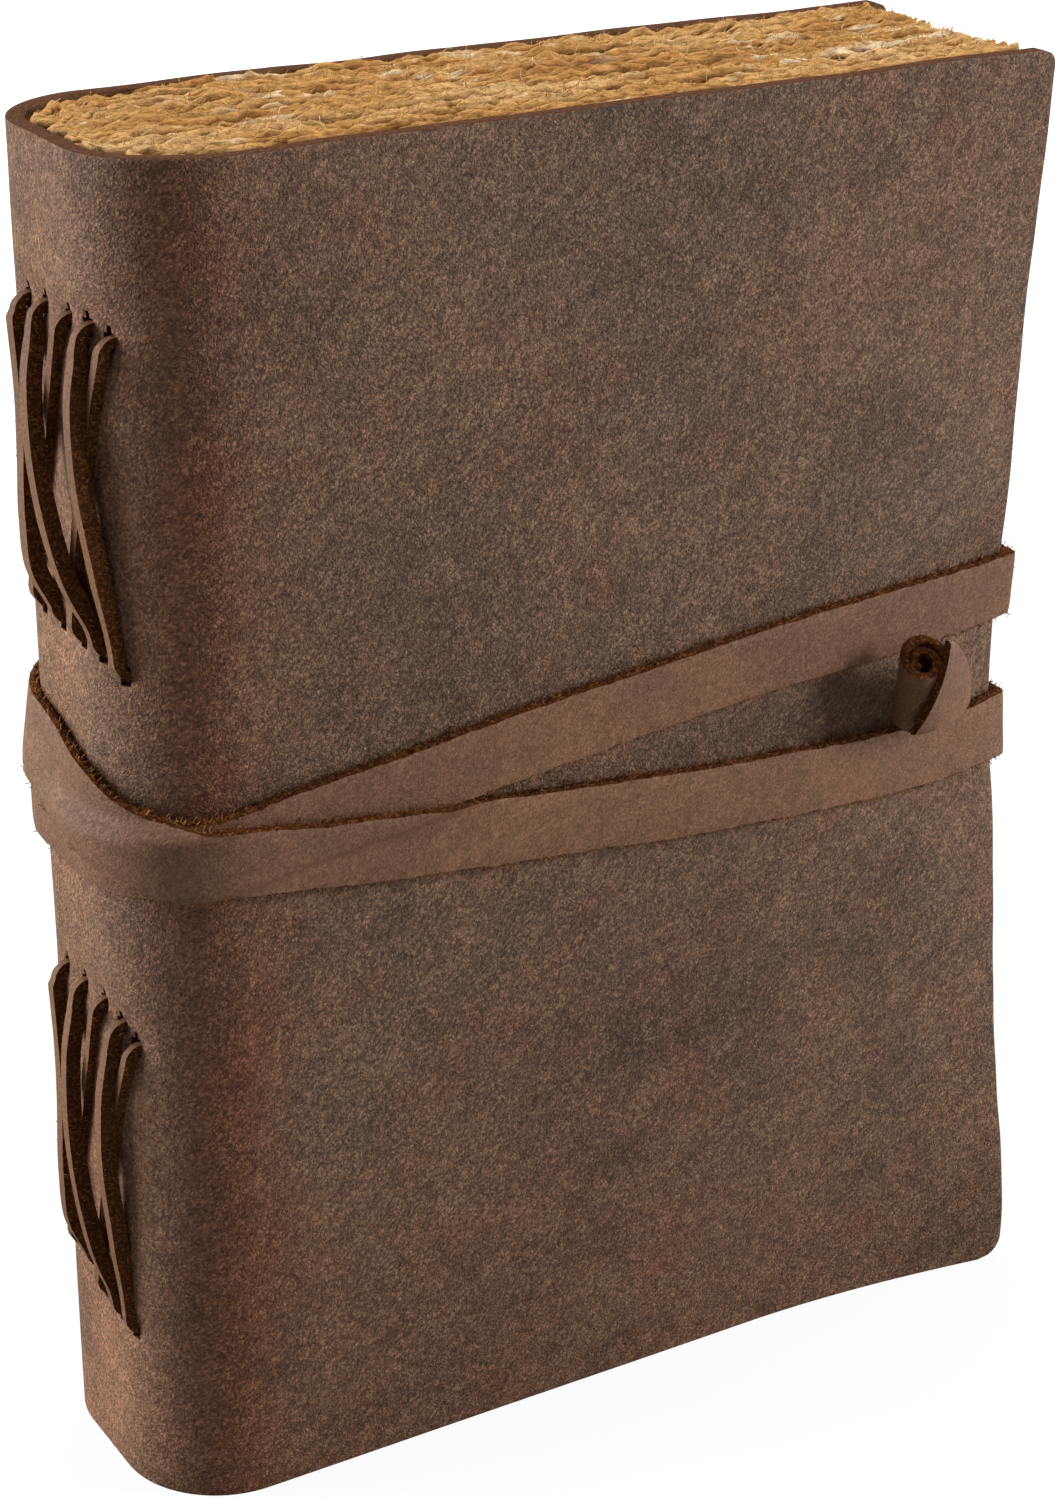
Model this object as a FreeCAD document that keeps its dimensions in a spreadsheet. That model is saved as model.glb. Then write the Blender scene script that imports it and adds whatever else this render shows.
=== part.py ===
import FreeCAD, Part
import math
import os

# Long-stitch leather notebook standing on its tail, closed and strapped.
# Millimetres. X runs from the spine to the fore edge, Y from the front cover to the back cover
# and Z up the height of the book. The origin is the middle of the book on the face it stands on.

doc = FreeCAD.newDocument("leather_notebook")
sizes = doc.addObject("Spreadsheet::Sheet", "Sizes")

DRIVING_SIZES = {
    "height": 178.0,            # head to tail, the same for cover and leaves
    "width": 133.0,             # outside of the spine to the fore edge of the covers
    "hide": 2.2,                # cover leather
    "spine_radius": 14.1,       # outside of the rounded spine folds
    "cover_corner": 5.0,        # rounded corners at the fore edge
    "seat": 0.3,                # gap where a limp piece lies on another
    "leaf": 0.3,                # one sheet of cotton rag paper
    "leaf_gap": 0.1,            # air between sheets
    "leaf_inset": 4.5,          # paper lies this far inside the covers' fore edge
    "signature_pitch": 6.7,     # folded gatherings, measured at the fore edge
    "fold_pitch": 5.2,          # the same where the lacing pulls the folds together
    "fold_shift": -2.5,         # the laced folds sit this far towards the front cover
    "fold_depth": 30.0,         # from the spine to where the gatherings lie parallel
    "leaf_slot": 0.1,           # open gap between two leaves of a gathering
    "lace_wide": 2.2,
    "lace_thick": 2.0,
    "lace_bend": 1.5,           # centreline radius where a lace turns into its slit
    "lace_slack": 0.5,          # clearance round a lace in leather and paper
    "upper_head": 69.0,         # the four rows of slits, above the middle of the height
    "upper_tail": 28.5,
    "lower_head": -19.6,
    "lower_tail": -63.6,
    "strap_wide": 9.6,
    "strap_thick": 1.8,
    "cross_gap": 0.55,          # air between two runs of one strip that cross
    "strap_anchor": 60.0,       # anchor slit, from the spine along the back cover
    "anchor_rise": 8.0,         # and above the middle of the height
    "toggle_radius": 3.3,
    "toggle_length": 12.6,
    "toggle_hide": 1.5,
    "toggle_inset": 21.5,       # roll's axis, in from the fore edge
    "toggle_rise": 2.2,         # lower end of the roll, above the middle of the height
    "neck_high": 8.4,
    "neck_inset": 12.5,         # where the neck goes through the cover, in from the fore edge
}

for row, (alias, number) in enumerate(DRIVING_SIZES.items(), start=1):
    sizes.set(f"A{row}", alias)
    sizes.set(f"B{row}", str(number))
    sizes.setAlias(f"B{row}", alias)
doc.recompute()


class Dim:
    """A length with the formula that ties it to the sheet of sizes."""

    def __init__(self, value, text):
        self.value = value
        self.text = text

    def __add__(self, other):
        other = dim(other)
        return Dim(self.value + other.value, f"({self.text} + {other.text})")

    def __sub__(self, other):
        other = dim(other)
        return Dim(self.value - other.value, f"({self.text} - {other.text})")

    def __mul__(self, other):
        other = dim(other)
        return Dim(self.value * other.value, f"{self.text} * {other.text}")

    def __truediv__(self, other):
        other = dim(other)
        return Dim(self.value / other.value, f"{self.text} / ({other.text})")

    def __neg__(self):
        return Dim(-self.value, f"(0 - {self.text})")

    __radd__ = __add__
    __rmul__ = __mul__


def dim(thing):
    return thing if isinstance(thing, Dim) else Dim(float(thing), f"({float(thing)})")


def size(alias):
    return Dim(float(sizes.get(alias)), f"Sizes.{alias}")


def root(inside):
    return Dim(math.sqrt(inside.value), f"sqrt({inside.text})")


GATHERINGS = range(1, 6)
OUTER_LEAVES = 2                         # loose leaves between the gatherings and each cover

height = size("height")
width = size("width")
hide = size("hide")
radius = size("spine_radius")
seat = size("seat")
leaf_step = size("leaf") + size("leaf_gap")
body_half = size("signature_pitch") / 2 - size("leaf_gap") / 2
block_half = size("signature_pitch") * 2.0 + body_half
thickness = (block_half + leaf_step * float(OUTER_LEAVES) + seat + hide) * 2.0
middle = height / 2
spine_out = -(width / 2)                 # outer face of the spine
fore_edge = width / 2
front_out = -(thickness / 2)             # outer face of the front cover
back_out = thickness / 2
bend_x = spine_out + radius              # where the rounded spine meets the flat covers
bend_y = thickness / 2 - radius


def origin_plane(body, role):
    for feature in body.Origin.OriginFeatures:
        if feature.Role == role:
            return feature
    raise ValueError(role)


def sketch_on(body, label, role, lift=None):
    """A sketch on one of the body's own planes, moved along the plane's normal by lift."""
    sketch = body.newObject("Sketcher::SketchObject", label)
    sketch.AttachmentSupport = [(origin_plane(body, role), "")]
    sketch.MapMode = "FlatFace"
    if lift is not None:
        sketch.setExpression("AttachmentOffset.Base.z", lift.text)
    return sketch


def draw(sketch, tag, corners):
    """A closed outline. Each corner is (across, up), or (across, up, arc centre, turn),
    where the edge that arrives at it is an arc and turn is 1 for anticlockwise."""
    import Sketcher
    ends = []
    for i, corner in enumerate(corners):
        last = corners[i - 1]
        here = FreeCAD.Vector(corner[0].value, corner[1].value, 0)
        there = FreeCAD.Vector(last[0].value, last[1].value, 0)
        if len(corner) == 2:
            index = sketch.addGeometry(Part.LineSegment(there, here))
            ends.append((index, 1, 2))
            continue
        centre = FreeCAD.Vector(corner[2][0].value, corner[2][1].value, 0)
        first, final = (there, here) if corner[3] > 0 else (here, there)
        ray = first - centre
        start = math.atan2(ray.y, ray.x)
        ray = final - centre
        stop = math.atan2(ray.y, ray.x)
        if stop <= start:
            stop += 2 * math.pi
        circle = Part.Circle(centre, FreeCAD.Vector(0, 0, 1), (first - centre).Length)
        index = sketch.addGeometry(Part.ArcOfCircle(circle, start, stop))
        ends.append((index, 1, 2) if corner[3] > 0 else (index, 2, 1))
        chord = here - there
        axis = 0 if abs(chord.y) > abs(chord.x) else 1
        kind = ("DistanceX", "DistanceY")[axis]
        at = sketch.addConstraint(
            Sketcher.Constraint(kind, -1, 1, index, 3, corner[2][axis].value))
        sketch.renameConstraint(at, f"{tag}_{i}_c")
        sketch.setExpression(f".Constraints.{tag}_{i}_c", corner[2][axis].text)
    for i, corner in enumerate(corners):
        arrives = ends[i]
        leaves = ends[(i + 1) % len(ends)]
        sketch.addConstraint(
            Sketcher.Constraint("Coincident", arrives[0], arrives[2], leaves[0], leaves[1]))
        for axis, kind in enumerate(("DistanceX", "DistanceY")):
            at = sketch.addConstraint(Sketcher.Constraint(
                kind, -1, 1, arrives[0], arrives[2], corner[axis].value))
            name = f"{tag}_{i}_{'xy'[axis]}"
            sketch.renameConstraint(at, name)
            sketch.setExpression(f".Constraints.{name}", corner[axis].text)


def box_corners(low_a, high_a, low_b, high_b):
    return [(high_a, low_b), (high_a, high_b), (low_a, high_b), (low_a, low_b)]


def pad(body, sketch, length, label):
    feature = body.newObject("PartDesign::Pad", label)
    feature.Profile = sketch
    feature.setExpression("Length", length.text)
    return feature


def pocket(body, sketch, length, label, other_way=True):
    feature = body.newObject("PartDesign::Pocket", label)
    feature.Profile = sketch
    feature.setExpression("Length", length.text)
    feature.Reversed = other_way
    return feature


def fold_y(index):
    """Across the spine, the fold of gathering 1 (back) to 5 (front)."""
    return size("fold_shift") + size("fold_pitch") * float(3 - index)


def gathering_y(index):
    return size("signature_pitch") * float(3 - index)


def spine_face(y):
    """Outer face of the leather at a place across the spine, rounded folds included."""
    past = abs(y) - bend_y.value
    if past <= 0:
        return spine_out.value
    return bend_x.value - math.sqrt(radius.value ** 2 - past ** 2)


# The spine is the middle of the one hide: a flat strip between two rounded folds, with two
# groups of short slits that the laces pass through.
LACE_ROWS = (("upper", "upper_head", "upper_tail"), ("lower", "lower_head", "lower_tail"))

spine = doc.addObject("PartDesign::Body", "spine")
spine_sketch = sketch_on(spine, "spine_section", "XY_Plane")
front_centre = (bend_x, -bend_y)
back_centre = (bend_x, bend_y)
draw(spine_sketch, "wall", [
    (bend_x, front_out),
    (spine_out, -bend_y, front_centre, -1),
    (spine_out, bend_y),
    (bend_x, back_out, back_centre, -1),
    (bend_x, back_out - hide),
    (spine_out + hide, bend_y, back_centre, 1),
    (spine_out + hide, -bend_y),
    (bend_x, front_out + hide, front_centre, 1),
])
pad(spine, spine_sketch, height, "spine_wall")
slit_sketch = sketch_on(spine, "slit_rows", "YZ_Plane", spine_out - hide)
slit_half = size("lace_wide") / 2 + size("lace_slack") / 2
slit_rise = size("lace_thick") / 2 + size("lace_slack")
for row_name, head, tail in LACE_ROWS:
    for level in (head, tail):
        for index in GATHERINGS:
            draw(slit_sketch, f"{level}_{index}", box_corners(
                fold_y(index) - slit_half, fold_y(index) + slit_half,
                middle + size(level) - slit_rise, middle + size(level) + slit_rise))
pocket(spine, slit_sketch, hide * 2.0 + radius / 2, "slits")


# The covers are the two ends of the hide, cut with rounded corners at the fore edge.
def cover_panel(name, plane_lift):
    body = doc.addObject("PartDesign::Body", name)
    corner = size("cover_corner")
    outline = sketch_on(body, f"{name}_outline", "XZ_Plane", plane_lift)
    draw(outline, "edge", [
        (bend_x, dim(0)),
        (fore_edge - corner, dim(0)),
        (fore_edge, corner, (fore_edge - corner, corner), 1),
        (fore_edge, height - corner),
        (fore_edge - corner, height, (fore_edge - corner, height - corner), 1),
        (bend_x, height),
    ])
    pad(body, outline, hide, f"{name}_leather")
    return body


def cover_slot(body, name, plane_lift, middle_x, half_x, low, high):
    """A slot through a cover for a strip of leather that is anchored in it."""
    opening = sketch_on(body, f"{name}_outline", "XZ_Plane", plane_lift)
    draw(opening, "slot", box_corners(middle_x - half_x, middle_x + half_x, low, high))
    pocket(body, opening, hide * 2.0, name, other_way=False)


front_cover = cover_panel("front_cover", thickness / 2 - hide)
back_cover = cover_panel("back_cover", front_out)

slack = size("lace_slack")
toggle_hide = size("toggle_hide")
toggle_tail = middle + size("toggle_rise")
neck_x = fore_edge - size("neck_inset")
cover_slot(front_cover, "toggle_slot", thickness / 2 + hide / 2, neck_x,
           toggle_hide / 2 + slack / 2, toggle_tail - slack / 2,
           toggle_tail + size("neck_high") + slack / 2)

strap_x = spine_out + size("strap_anchor")
anchor_z = middle + size("anchor_rise")
strap_room = size("strap_wide") / 2 + slack
cover_slot(back_cover, "strap_slot", hide * 1.5 - thickness / 2, strap_x,
           size("strap_thick") / 2 + slack / 2, anchor_z - strap_room, anchor_z + strap_room)


# Five gatherings of folded rag paper. Each is drawn in plan with its folds to the spine, then
# opened into leaves from the fore edge, and pierced where the laces run through its middle fold.
fold_half = size("fold_pitch") / 2 - size("leaf_gap")
paper_edge = fore_edge - size("leaf_inset")
parallel_x = spine_out + size("fold_depth")
LEAVES = 20


def fold_x(index):
    """Centre of the round fold, set back where the spine curves away in front of it."""
    room = radius - hide - seat - fold_half
    y = fold_y(index)
    side = y if y.value > 0 else -y
    if side.value <= bend_y.value:
        return spine_out + hide + seat + fold_half
    past = side - bend_y
    return bend_x - root(room * room - past * past)


def channel_x(index):
    """Middle of the lace's inside run, just past the fold."""
    return fold_x(index) + fold_half


def gathering(index):
    name = f"signature_{index}"
    body = doc.addObject("PartDesign::Body", name)
    plan = sketch_on(body, f"{name}_plan", "XY_Plane")
    centre, fold, nose = gathering_y(index), fold_y(index), fold_x(index)
    draw(plan, "fold", [
        (nose, fold - fold_half, (nose, fold), 1),
        (parallel_x, centre - body_half),
        (paper_edge, centre - body_half),
        (paper_edge, centre + body_half),
        (parallel_x, centre + body_half),
        (nose, fold + fold_half),
    ])
    pad(body, plan, height, f"{name}_paper")

    half_slot = size("leaf_slot") / 2
    slot = sketch_on(body, f"{name}_gap", "XY_Plane")
    pitch = body_half * 2.0 / float(LEAVES)
    lowest = centre - body_half + pitch
    draw(slot, "gap", box_corners(parallel_x, paper_edge + hide,
                                  lowest - half_slot, lowest + half_slot))
    first = pocket(body, slot, height + hide, f"{name}_leaf_gap")
    gaps = body.newObject("PartDesign::LinearPattern", f"{name}_leaves")
    gaps.Originals = [first]
    gaps.Direction = (plan, ["V_Axis"])
    gaps.setExpression("Length", (pitch * float(LEAVES - 2)).text)
    gaps.Occurrences = LEAVES - 1
    body.Tip = gaps

    half = size("lace_wide") / 2 + size("lace_slack") / 2
    rise = size("lace_thick") / 2 + size("lace_slack") / 2
    deep = channel_x(index)
    side = sketch_on(body, f"{name}_stations", "XZ_Plane", -fold - half)
    for row_name, head, tail in LACE_ROWS:
        outside = nose - fold_half - seat
        high, low = middle + size(head), middle + size(tail)
        draw(side, row_name, [
            (outside, low - rise),
            (deep + rise, low - rise),
            (deep + rise, high + rise),
            (outside, high + rise),
            (outside, high - rise),
            (deep - rise, high - rise),
            (deep - rise, low + rise),
            (outside, low + rise),
        ])
    pocket(body, side, half * 2.0, f"{name}_lace_channel")
    return body


gatherings = [gathering(index) for index in GATHERINGS]


# The outermost two leaves on each side turn with their cover, so each is a sheet of its own.
def loose_leaf(name, inner_face_y):
    sheet = doc.addObject("Part::Box", name)
    sheet.setExpression("Length", (paper_edge - bend_x - seat).text)
    sheet.setExpression("Width", size("leaf").text)
    sheet.setExpression("Height", height.text)
    sheet.setExpression("Placement.Base.x", (bend_x + seat).text)
    sheet.setExpression("Placement.Base.y", inner_face_y.text)
    return sheet


leaves = []
for count, order in ((1, "inner"), (2, "outer")):
    reach = block_half + leaf_step * float(count)
    leaves.append(loose_leaf(f"front_{order}_leaf", -reach))
    leaves.append(loose_leaf(f"back_{order}_leaf", reach - size("leaf")))


def band(stations, wide, thick):
    """A strip of leather through stations of (centre, direction, sideways), as one solid."""
    wires = []
    for centre, along, across in stations:
        sideways = across - along * across.dot(along)
        sideways.normalize()
        outward = along.cross(sideways)
        ring = []
        for a, b in ((-1, -1), (1, -1), (1, 1), (-1, 1)):
            ring.append(centre + sideways * (a * wide / 2) + outward * (b * thick / 2))
        wires.append(Part.makePolygon(ring + ring[:1]))
    return Part.makeLoft(wires, True, True)


def directions(points):
    """The running direction at each point, from its neighbours."""
    found = []
    for i in range(len(points)):
        along = points[min(i + 1, len(points) - 1)] - points[max(i - 1, 0)]
        along.normalize()
        found.append(along)
    return found


def quarter(start, leave, arrive, bend, steps):
    """Points of a quarter turn of radius bend that begins at start."""
    centre = start + arrive * bend
    points = []
    for k in range(1, steps + 1):
        angle = k * math.pi / 2 / steps
        points.append(centre - arrive * (bend * math.cos(angle)) + leave * (bend * math.sin(angle)))
    return points


def smooth(share):
    share = min(1.0, max(0.0, share))
    return share * share * (3 - 2 * share)


# One thong sews each row of slits. It runs up inside a gathering's middle fold, out at the head
# slit, down the spine to another gathering's tail slit, in, and up again, once through all five.
UP = FreeCAD.Vector(0, 0, 1)
DOWN = FreeCAD.Vector(0, 0, -1)
IN = FreeCAD.Vector(1, 0, 0)
OUT = FreeCAD.Vector(-1, 0, 0)
ACROSS = FreeCAD.Vector(0, 1, 0)
SEWING_ORDER = (1, 2, 4, 5, 3, 1)
BEHIND = (5, 3)                          # stitches that leave these slits run under the others
TURN_STEPS = 4
RUN_STEPS = 14


def lace_face(y):
    """The furthest out that the leather reaches under a lace's width."""
    half = sizes.get("lace_wide") / 2
    return min(spine_face(y - half), spine_face(y), spine_face(y + half))


def thong(name, head_alias, tail_alias):
    head = middle.value + sizes.get(head_alias)
    tail = middle.value + sizes.get(tail_alias)
    bend = sizes.get("lace_bend")
    thick = sizes.get("lace_thick")
    stand = seat.value + thick / 2
    over = thick + sizes.get("cross_gap")
    knot_gap = thick
    points = []

    def across_at(index):
        return fold_y(index).value

    def inside(index, z):
        return FreeCAD.Vector(channel_x(index).value, across_at(index), z)

    points.append(inside(SEWING_ORDER[0], (head + tail) / 2 + knot_gap))
    for here, there in zip(SEWING_ORDER[:-1], SEWING_ORDER[1:]):
        top = inside(here, head - bend)
        points.append(top)
        points += quarter(top, UP, OUT, bend, TURN_STEPS)
        face = lace_face(across_at(here)) - stand
        turn = FreeCAD.Vector(face + bend, across_at(here), head)
        points.append(turn)
        points += quarter(turn, OUT, DOWN, bend, TURN_STEPS)
        for k in range(1, RUN_STEPS):
            share = k / RUN_STEPS
            y = across_at(here) + (across_at(there) - across_at(here)) * share
            z = head - bend + (tail - head + 2 * bend) * share
            rise = smooth(share / 0.13) * smooth((1 - share) / 0.13)
            lift = 0.0 if here in BEHIND else over * rise
            points.append(FreeCAD.Vector(lace_face(y) - stand - lift, y, z))
        face = lace_face(across_at(there)) - stand
        low = FreeCAD.Vector(face, across_at(there), tail + bend)
        points.append(low)
        points += quarter(low, DOWN, IN, bend, TURN_STEPS)
        foot = inside(there, tail) - IN * bend
        points.append(foot)
        points += quarter(foot, IN, UP, bend, TURN_STEPS)
    points.append(inside(SEWING_ORDER[-1], (head + tail) / 2 - knot_gap))

    piece = doc.addObject("Part::Feature", name)
    stations = list(zip(points, directions(points), [ACROSS] * len(points)))
    piece.Shape = band(stations, sizes.get("lace_wide"), thick)
    return piece, points


laces = []
for row_name, head, tail in LACE_ROWS:
    laces.append(thong(f"{row_name}_thong", head, tail))


# The strap is one strip of leather. It comes through the back cover, goes round the spine and
# rises across the front, goes round a second time on top of itself, and its end is tucked
# under the turn on the back.
def strap_route():
    """The strap's middle line, each point with the way out from the book. Heights are above
    the middle of the book."""
    gap = seat.value
    thick = sizes.get("strap_thick")
    on_cover = gap + thick / 2
    on_strap = on_cover + thick + sizes.get("cross_gap")
    left, right = spine_out.value, fore_edge.value
    front, back = front_out.value, back_out.value
    knee, lobe = bend_x.value, bend_y.value
    bend = radius.value
    edge_bend = on_cover                 # the inner face turns about the cover's own edge
    level = middle.value
    stations = []

    def put(x, y, z, nx, ny):
        stations.append((FreeCAD.Vector(x, y, level + z), FreeCAD.Vector(nx, ny, 0)))

    def run(side, xs, zs, lifts):
        wall, way = (front, -1) if side == "front" else (back, 1)
        for x, z, lift in zip(xs, zs, lifts):
            put(x, wall + way * lift, z, 0, way)

    def spine_fold(side, lift_in, lift_out, z_in, z_out, settle=1, steps=8):
        """Round a spine fold, from the back cover on to the spine, or off it to the front."""
        for k in range(steps + 1):
            share = k / steps
            angle = math.radians(90 + 90 * share if side == "back" else 180 + 90 * share)
            lift = lift_in + (lift_out - lift_in) * share
            z = z_out + (z_in - z_out) * (1 - share) ** settle
            out = (math.cos(angle), math.sin(angle))
            centre = lobe if side == "back" else -lobe
            put(knee + out[0] * (bend + lift), centre + out[1] * (bend + lift), z, *out)

    def edge_turn(z_front, z_back, steps=5):
        """Round the fore edge, from the front cover to the back cover."""
        corner_x = right + on_cover - edge_bend
        for wall, way, z, first in ((front, -1, z_front, -90), (back, 1, z_back, 0)):
            corner_y = wall + way * (on_cover - edge_bend)
            for k in range(steps + 1):
                angle = math.radians(first + 90 * k / steps)
                out = (math.cos(angle), math.sin(angle))
                put(corner_x + out[0] * edge_bend, corner_y + out[1] * edge_bend, z, *out)

    anchor = strap_x.value
    rise = sizes.get("anchor_rise")
    put(anchor, back - hide.value, rise, 1, 0)
    put(anchor, back + on_cover - edge_bend, rise, 1, 0)
    for k in range(1, 5):
        angle = math.radians(90 * k / 4)
        put(anchor - edge_bend * (1 - math.cos(angle)),
            back + on_cover - edge_bend * (1 - math.sin(angle)),
            rise, math.cos(angle), math.sin(angle))
    run("back", (knee + 12,), (6.6,), (on_cover,))
    spine_fold("back", on_cover, on_cover, 6.0, 5.2)
    spine_fold("front", on_cover, on_cover, 5.0, 6.4)
    run("front", (-24.0, 18.0), (9.9, 14.1), (on_cover, on_cover))
    edge_turn(17.9, 18.4)
    run("back", (43.0, 33.0, 10.0, 0.0, -20.0), (17.6, 17.4, 17.0, 16.8, 16.7),
        (on_cover, on_strap, on_strap, on_cover, on_cover))
    spine_fold("back", on_cover, on_cover, 16.8, 16.9)
    spine_fold("front", on_strap, on_strap, 14.4, 4.5, settle=2)
    run("front", (-36.0, -22.0, -6.0, 8.0, 26.0), (1.8, 0.2, -1.2, -2.4, -3.7),
        (on_strap, on_strap, on_cover + 0.6, on_cover, on_cover))
    edge_turn(-2.6, -2.2)
    run("back", (50.0, 40.0, 20.0, 4.0, -3.0), (2.0, 6.6, 16.0, 23.0, 26.0),
        (on_cover,) * 5)
    return stations


strap = doc.addObject("Part::Feature", "wrap_strap")
route = strap_route()
route_points = [point for point, out in route]
strap_stations = []
for (point, out), along in zip(route, directions(route_points)):
    sideways = out.cross(along)
    sideways.normalize()
    strap_stations.append((point, along, sideways))
strap.Shape = band(strap_stations, sizes.get("strap_wide"), sizes.get("strap_thick"))


# The toggle is a T-shaped scrap of leather. Its head is rolled up tight, and its neck goes
# through a slit near the fore edge of the front cover. The strap is caught behind the roll.
toggle = doc.addObject("PartDesign::Body", "toggle")
roll_plan = sketch_on(toggle, "roll_plan", "XY_Plane", toggle_tail)
coil = toggle_hide + size("leaf_gap")
half_hide = toggle_hide / 2
roll_x = fore_edge - size("toggle_inset")
roll_y = front_out - seat - size("strap_thick") - seat - size("toggle_radius")
turn_1 = size("toggle_radius") - half_hide         # middle lines of the three half turns
turn_2 = turn_1 - coil / 2
turn_3 = turn_2 - coil / 2
centre_1 = (roll_x, roll_y)
centre_2 = (roll_x, roll_y - coil / 2)
neck_y = roll_y + turn_1
neck_bend = toggle_hide
neck_centre = (neck_x - neck_bend, neck_y + neck_bend)
draw(roll_plan, "roll", [
    (neck_x + half_hide, front_out + hide),
    (neck_x + half_hide, neck_y + neck_bend),
    (neck_x - neck_bend, neck_y - half_hide, neck_centre, -1),
    (roll_x, neck_y - half_hide),
    (roll_x, roll_y - turn_1 + half_hide, centre_1, 1),
    (roll_x, roll_y - coil / 2 + turn_2 - half_hide, centre_2, 1),
    (roll_x, roll_y - turn_3 + half_hide, centre_1, 1),
    (roll_x, roll_y - turn_3 - half_hide),
    (roll_x, roll_y + turn_3 + half_hide, centre_1, -1),
    (roll_x, roll_y - turn_1 - half_hide, centre_2, -1),
    (roll_x, neck_y + half_hide, centre_1, -1),
    (neck_x - neck_bend, neck_y + half_hide),
    (neck_x - half_hide, neck_y + neck_bend, neck_centre, 1),
    (neck_x - half_hide, front_out + hide),
])
pad(toggle, roll_plan, size("toggle_length"), "roll")
neck_cut = sketch_on(toggle, "neck_cut", "XY_Plane", toggle_tail + size("neck_high"))
draw(neck_cut, "cut", box_corners(
    roll_x + size("toggle_radius") + seat, fore_edge,
    roll_y - size("toggle_radius"), front_out + hide * 2.0))
pocket(toggle, neck_cut, size("toggle_length"), "narrow_neck")


subparts = [spine, front_cover, back_cover] + gatherings + leaves
subparts += [piece for piece, points in laces] + [strap, toggle]
doc.recompute()

for item in doc.Objects:
    for word in ("Invalid", "Error"):
        if word in item.State:
            raise RuntimeError(f"{item.Label} is {item.State}")
for item in subparts:
    if item.Shape.isNull() or not item.Shape.isValid() or not item.Shape.Solids:
        raise RuntimeError(f"{item.Label} has no good solid")


def least_gap(points, thick, apart):
    """The least clear distance between two stretches of one strip, on its points."""
    least = 1e9
    run_length = [0.0]
    for a, b in zip(points[:-1], points[1:]):
        run_length.append(run_length[-1] + (b - a).Length)
    for i, a in enumerate(points):
        for j in range(i):
            if run_length[i] - run_length[j] > apart:
                least = min(least, (a - points[j]).Length - thick)
    return least, run_length[-1]


for piece, points in laces:
    gap, length = least_gap(points, sizes.get("lace_thick"), 4 * sizes.get("lace_thick"))
    print(f"{piece.Label}: {length:.0f} mm long, least gap {gap:.2f} mm")
gap, length = least_gap(route_points, sizes.get("strap_thick"), 4 * sizes.get("strap_wide"))
print(f"{strap.Label}: {length:.0f} mm long, least gap {gap:.2f} mm")

os.makedirs("parts", exist_ok=True)
for item in subparts:
    item.Shape.exportStep(os.path.join("parts", f"{item.Label}.step"))
    print(item.Label, len(item.Shape.Solids), round(item.Shape.Volume, 1))
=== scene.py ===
import math

import bmesh
import bpy
import numpy as np
from mathutils import Matrix, Vector, geometry, noise


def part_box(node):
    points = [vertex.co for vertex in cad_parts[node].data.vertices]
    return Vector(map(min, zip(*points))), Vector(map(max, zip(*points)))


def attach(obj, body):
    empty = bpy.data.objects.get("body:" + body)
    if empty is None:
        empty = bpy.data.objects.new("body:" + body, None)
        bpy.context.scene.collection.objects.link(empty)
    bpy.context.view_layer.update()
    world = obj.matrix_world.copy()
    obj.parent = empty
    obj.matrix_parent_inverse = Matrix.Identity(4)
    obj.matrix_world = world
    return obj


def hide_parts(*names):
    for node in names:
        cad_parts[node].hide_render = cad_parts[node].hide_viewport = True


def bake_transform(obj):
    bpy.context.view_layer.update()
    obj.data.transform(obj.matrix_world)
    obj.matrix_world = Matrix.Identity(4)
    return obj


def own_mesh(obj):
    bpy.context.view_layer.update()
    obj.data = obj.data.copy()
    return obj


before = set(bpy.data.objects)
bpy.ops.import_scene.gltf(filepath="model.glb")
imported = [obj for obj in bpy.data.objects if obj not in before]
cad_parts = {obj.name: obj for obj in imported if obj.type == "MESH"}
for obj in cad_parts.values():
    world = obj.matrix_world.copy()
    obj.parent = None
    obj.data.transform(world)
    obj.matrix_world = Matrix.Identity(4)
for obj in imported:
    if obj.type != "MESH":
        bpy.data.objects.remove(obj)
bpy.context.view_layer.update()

# The book stands closed on its tail, seen from above its spine side with a long lens.
# Lengths in this file are millimetres, and MM turns them into the frame's metres.
MM = 0.001

camera_place = Vector((-202.6, -337.6, 259.5))
camera_turn = math.radians(30.87)       # from +Y towards +X
camera_dip = math.radians(-23.60)
camera_roll = math.radians(0.23)
forward = Vector((math.sin(camera_turn) * math.cos(camera_dip),
                  math.cos(camera_turn) * math.cos(camera_dip),
                  math.sin(camera_dip)))
level = Vector((math.cos(camera_turn), -math.sin(camera_turn), 0.0))
upward = level.cross(forward)
right = level * math.cos(camera_roll) + upward * math.sin(camera_roll)
upward = upward * math.cos(camera_roll) - level * math.sin(camera_roll)

lens = bpy.data.cameras.new("long_lens")
lens.lens = 76.92
lens.sensor_width = 36.0
lens.clip_start = 0.02
lens.clip_end = 20.0
camera = bpy.data.objects.new("camera", lens)
camera.matrix_world = Matrix.Translation(camera_place * MM) @ Matrix(
    (right, upward, -forward)).transposed().to_4x4()
bpy.context.scene.collection.objects.link(camera)
bpy.context.scene.camera = camera
bpy.context.scene.view_settings.view_transform = "Standard"


# Soft boxes stand left and right of the camera, with a third one overhead. The floor is a pale
# sweep that the camera sees almost white, with the book's soft shadow kept.
def colour(code):
    """Linear RGBA from an sRGB hex value."""
    parts = [int(code[i:i + 2], 16) / 255 for i in (1, 3, 5)]
    return [p / 12.92 if p <= 0.04045 else ((p + 0.055) / 1.055) ** 2.4 for p in parts] + [1.0]


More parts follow.
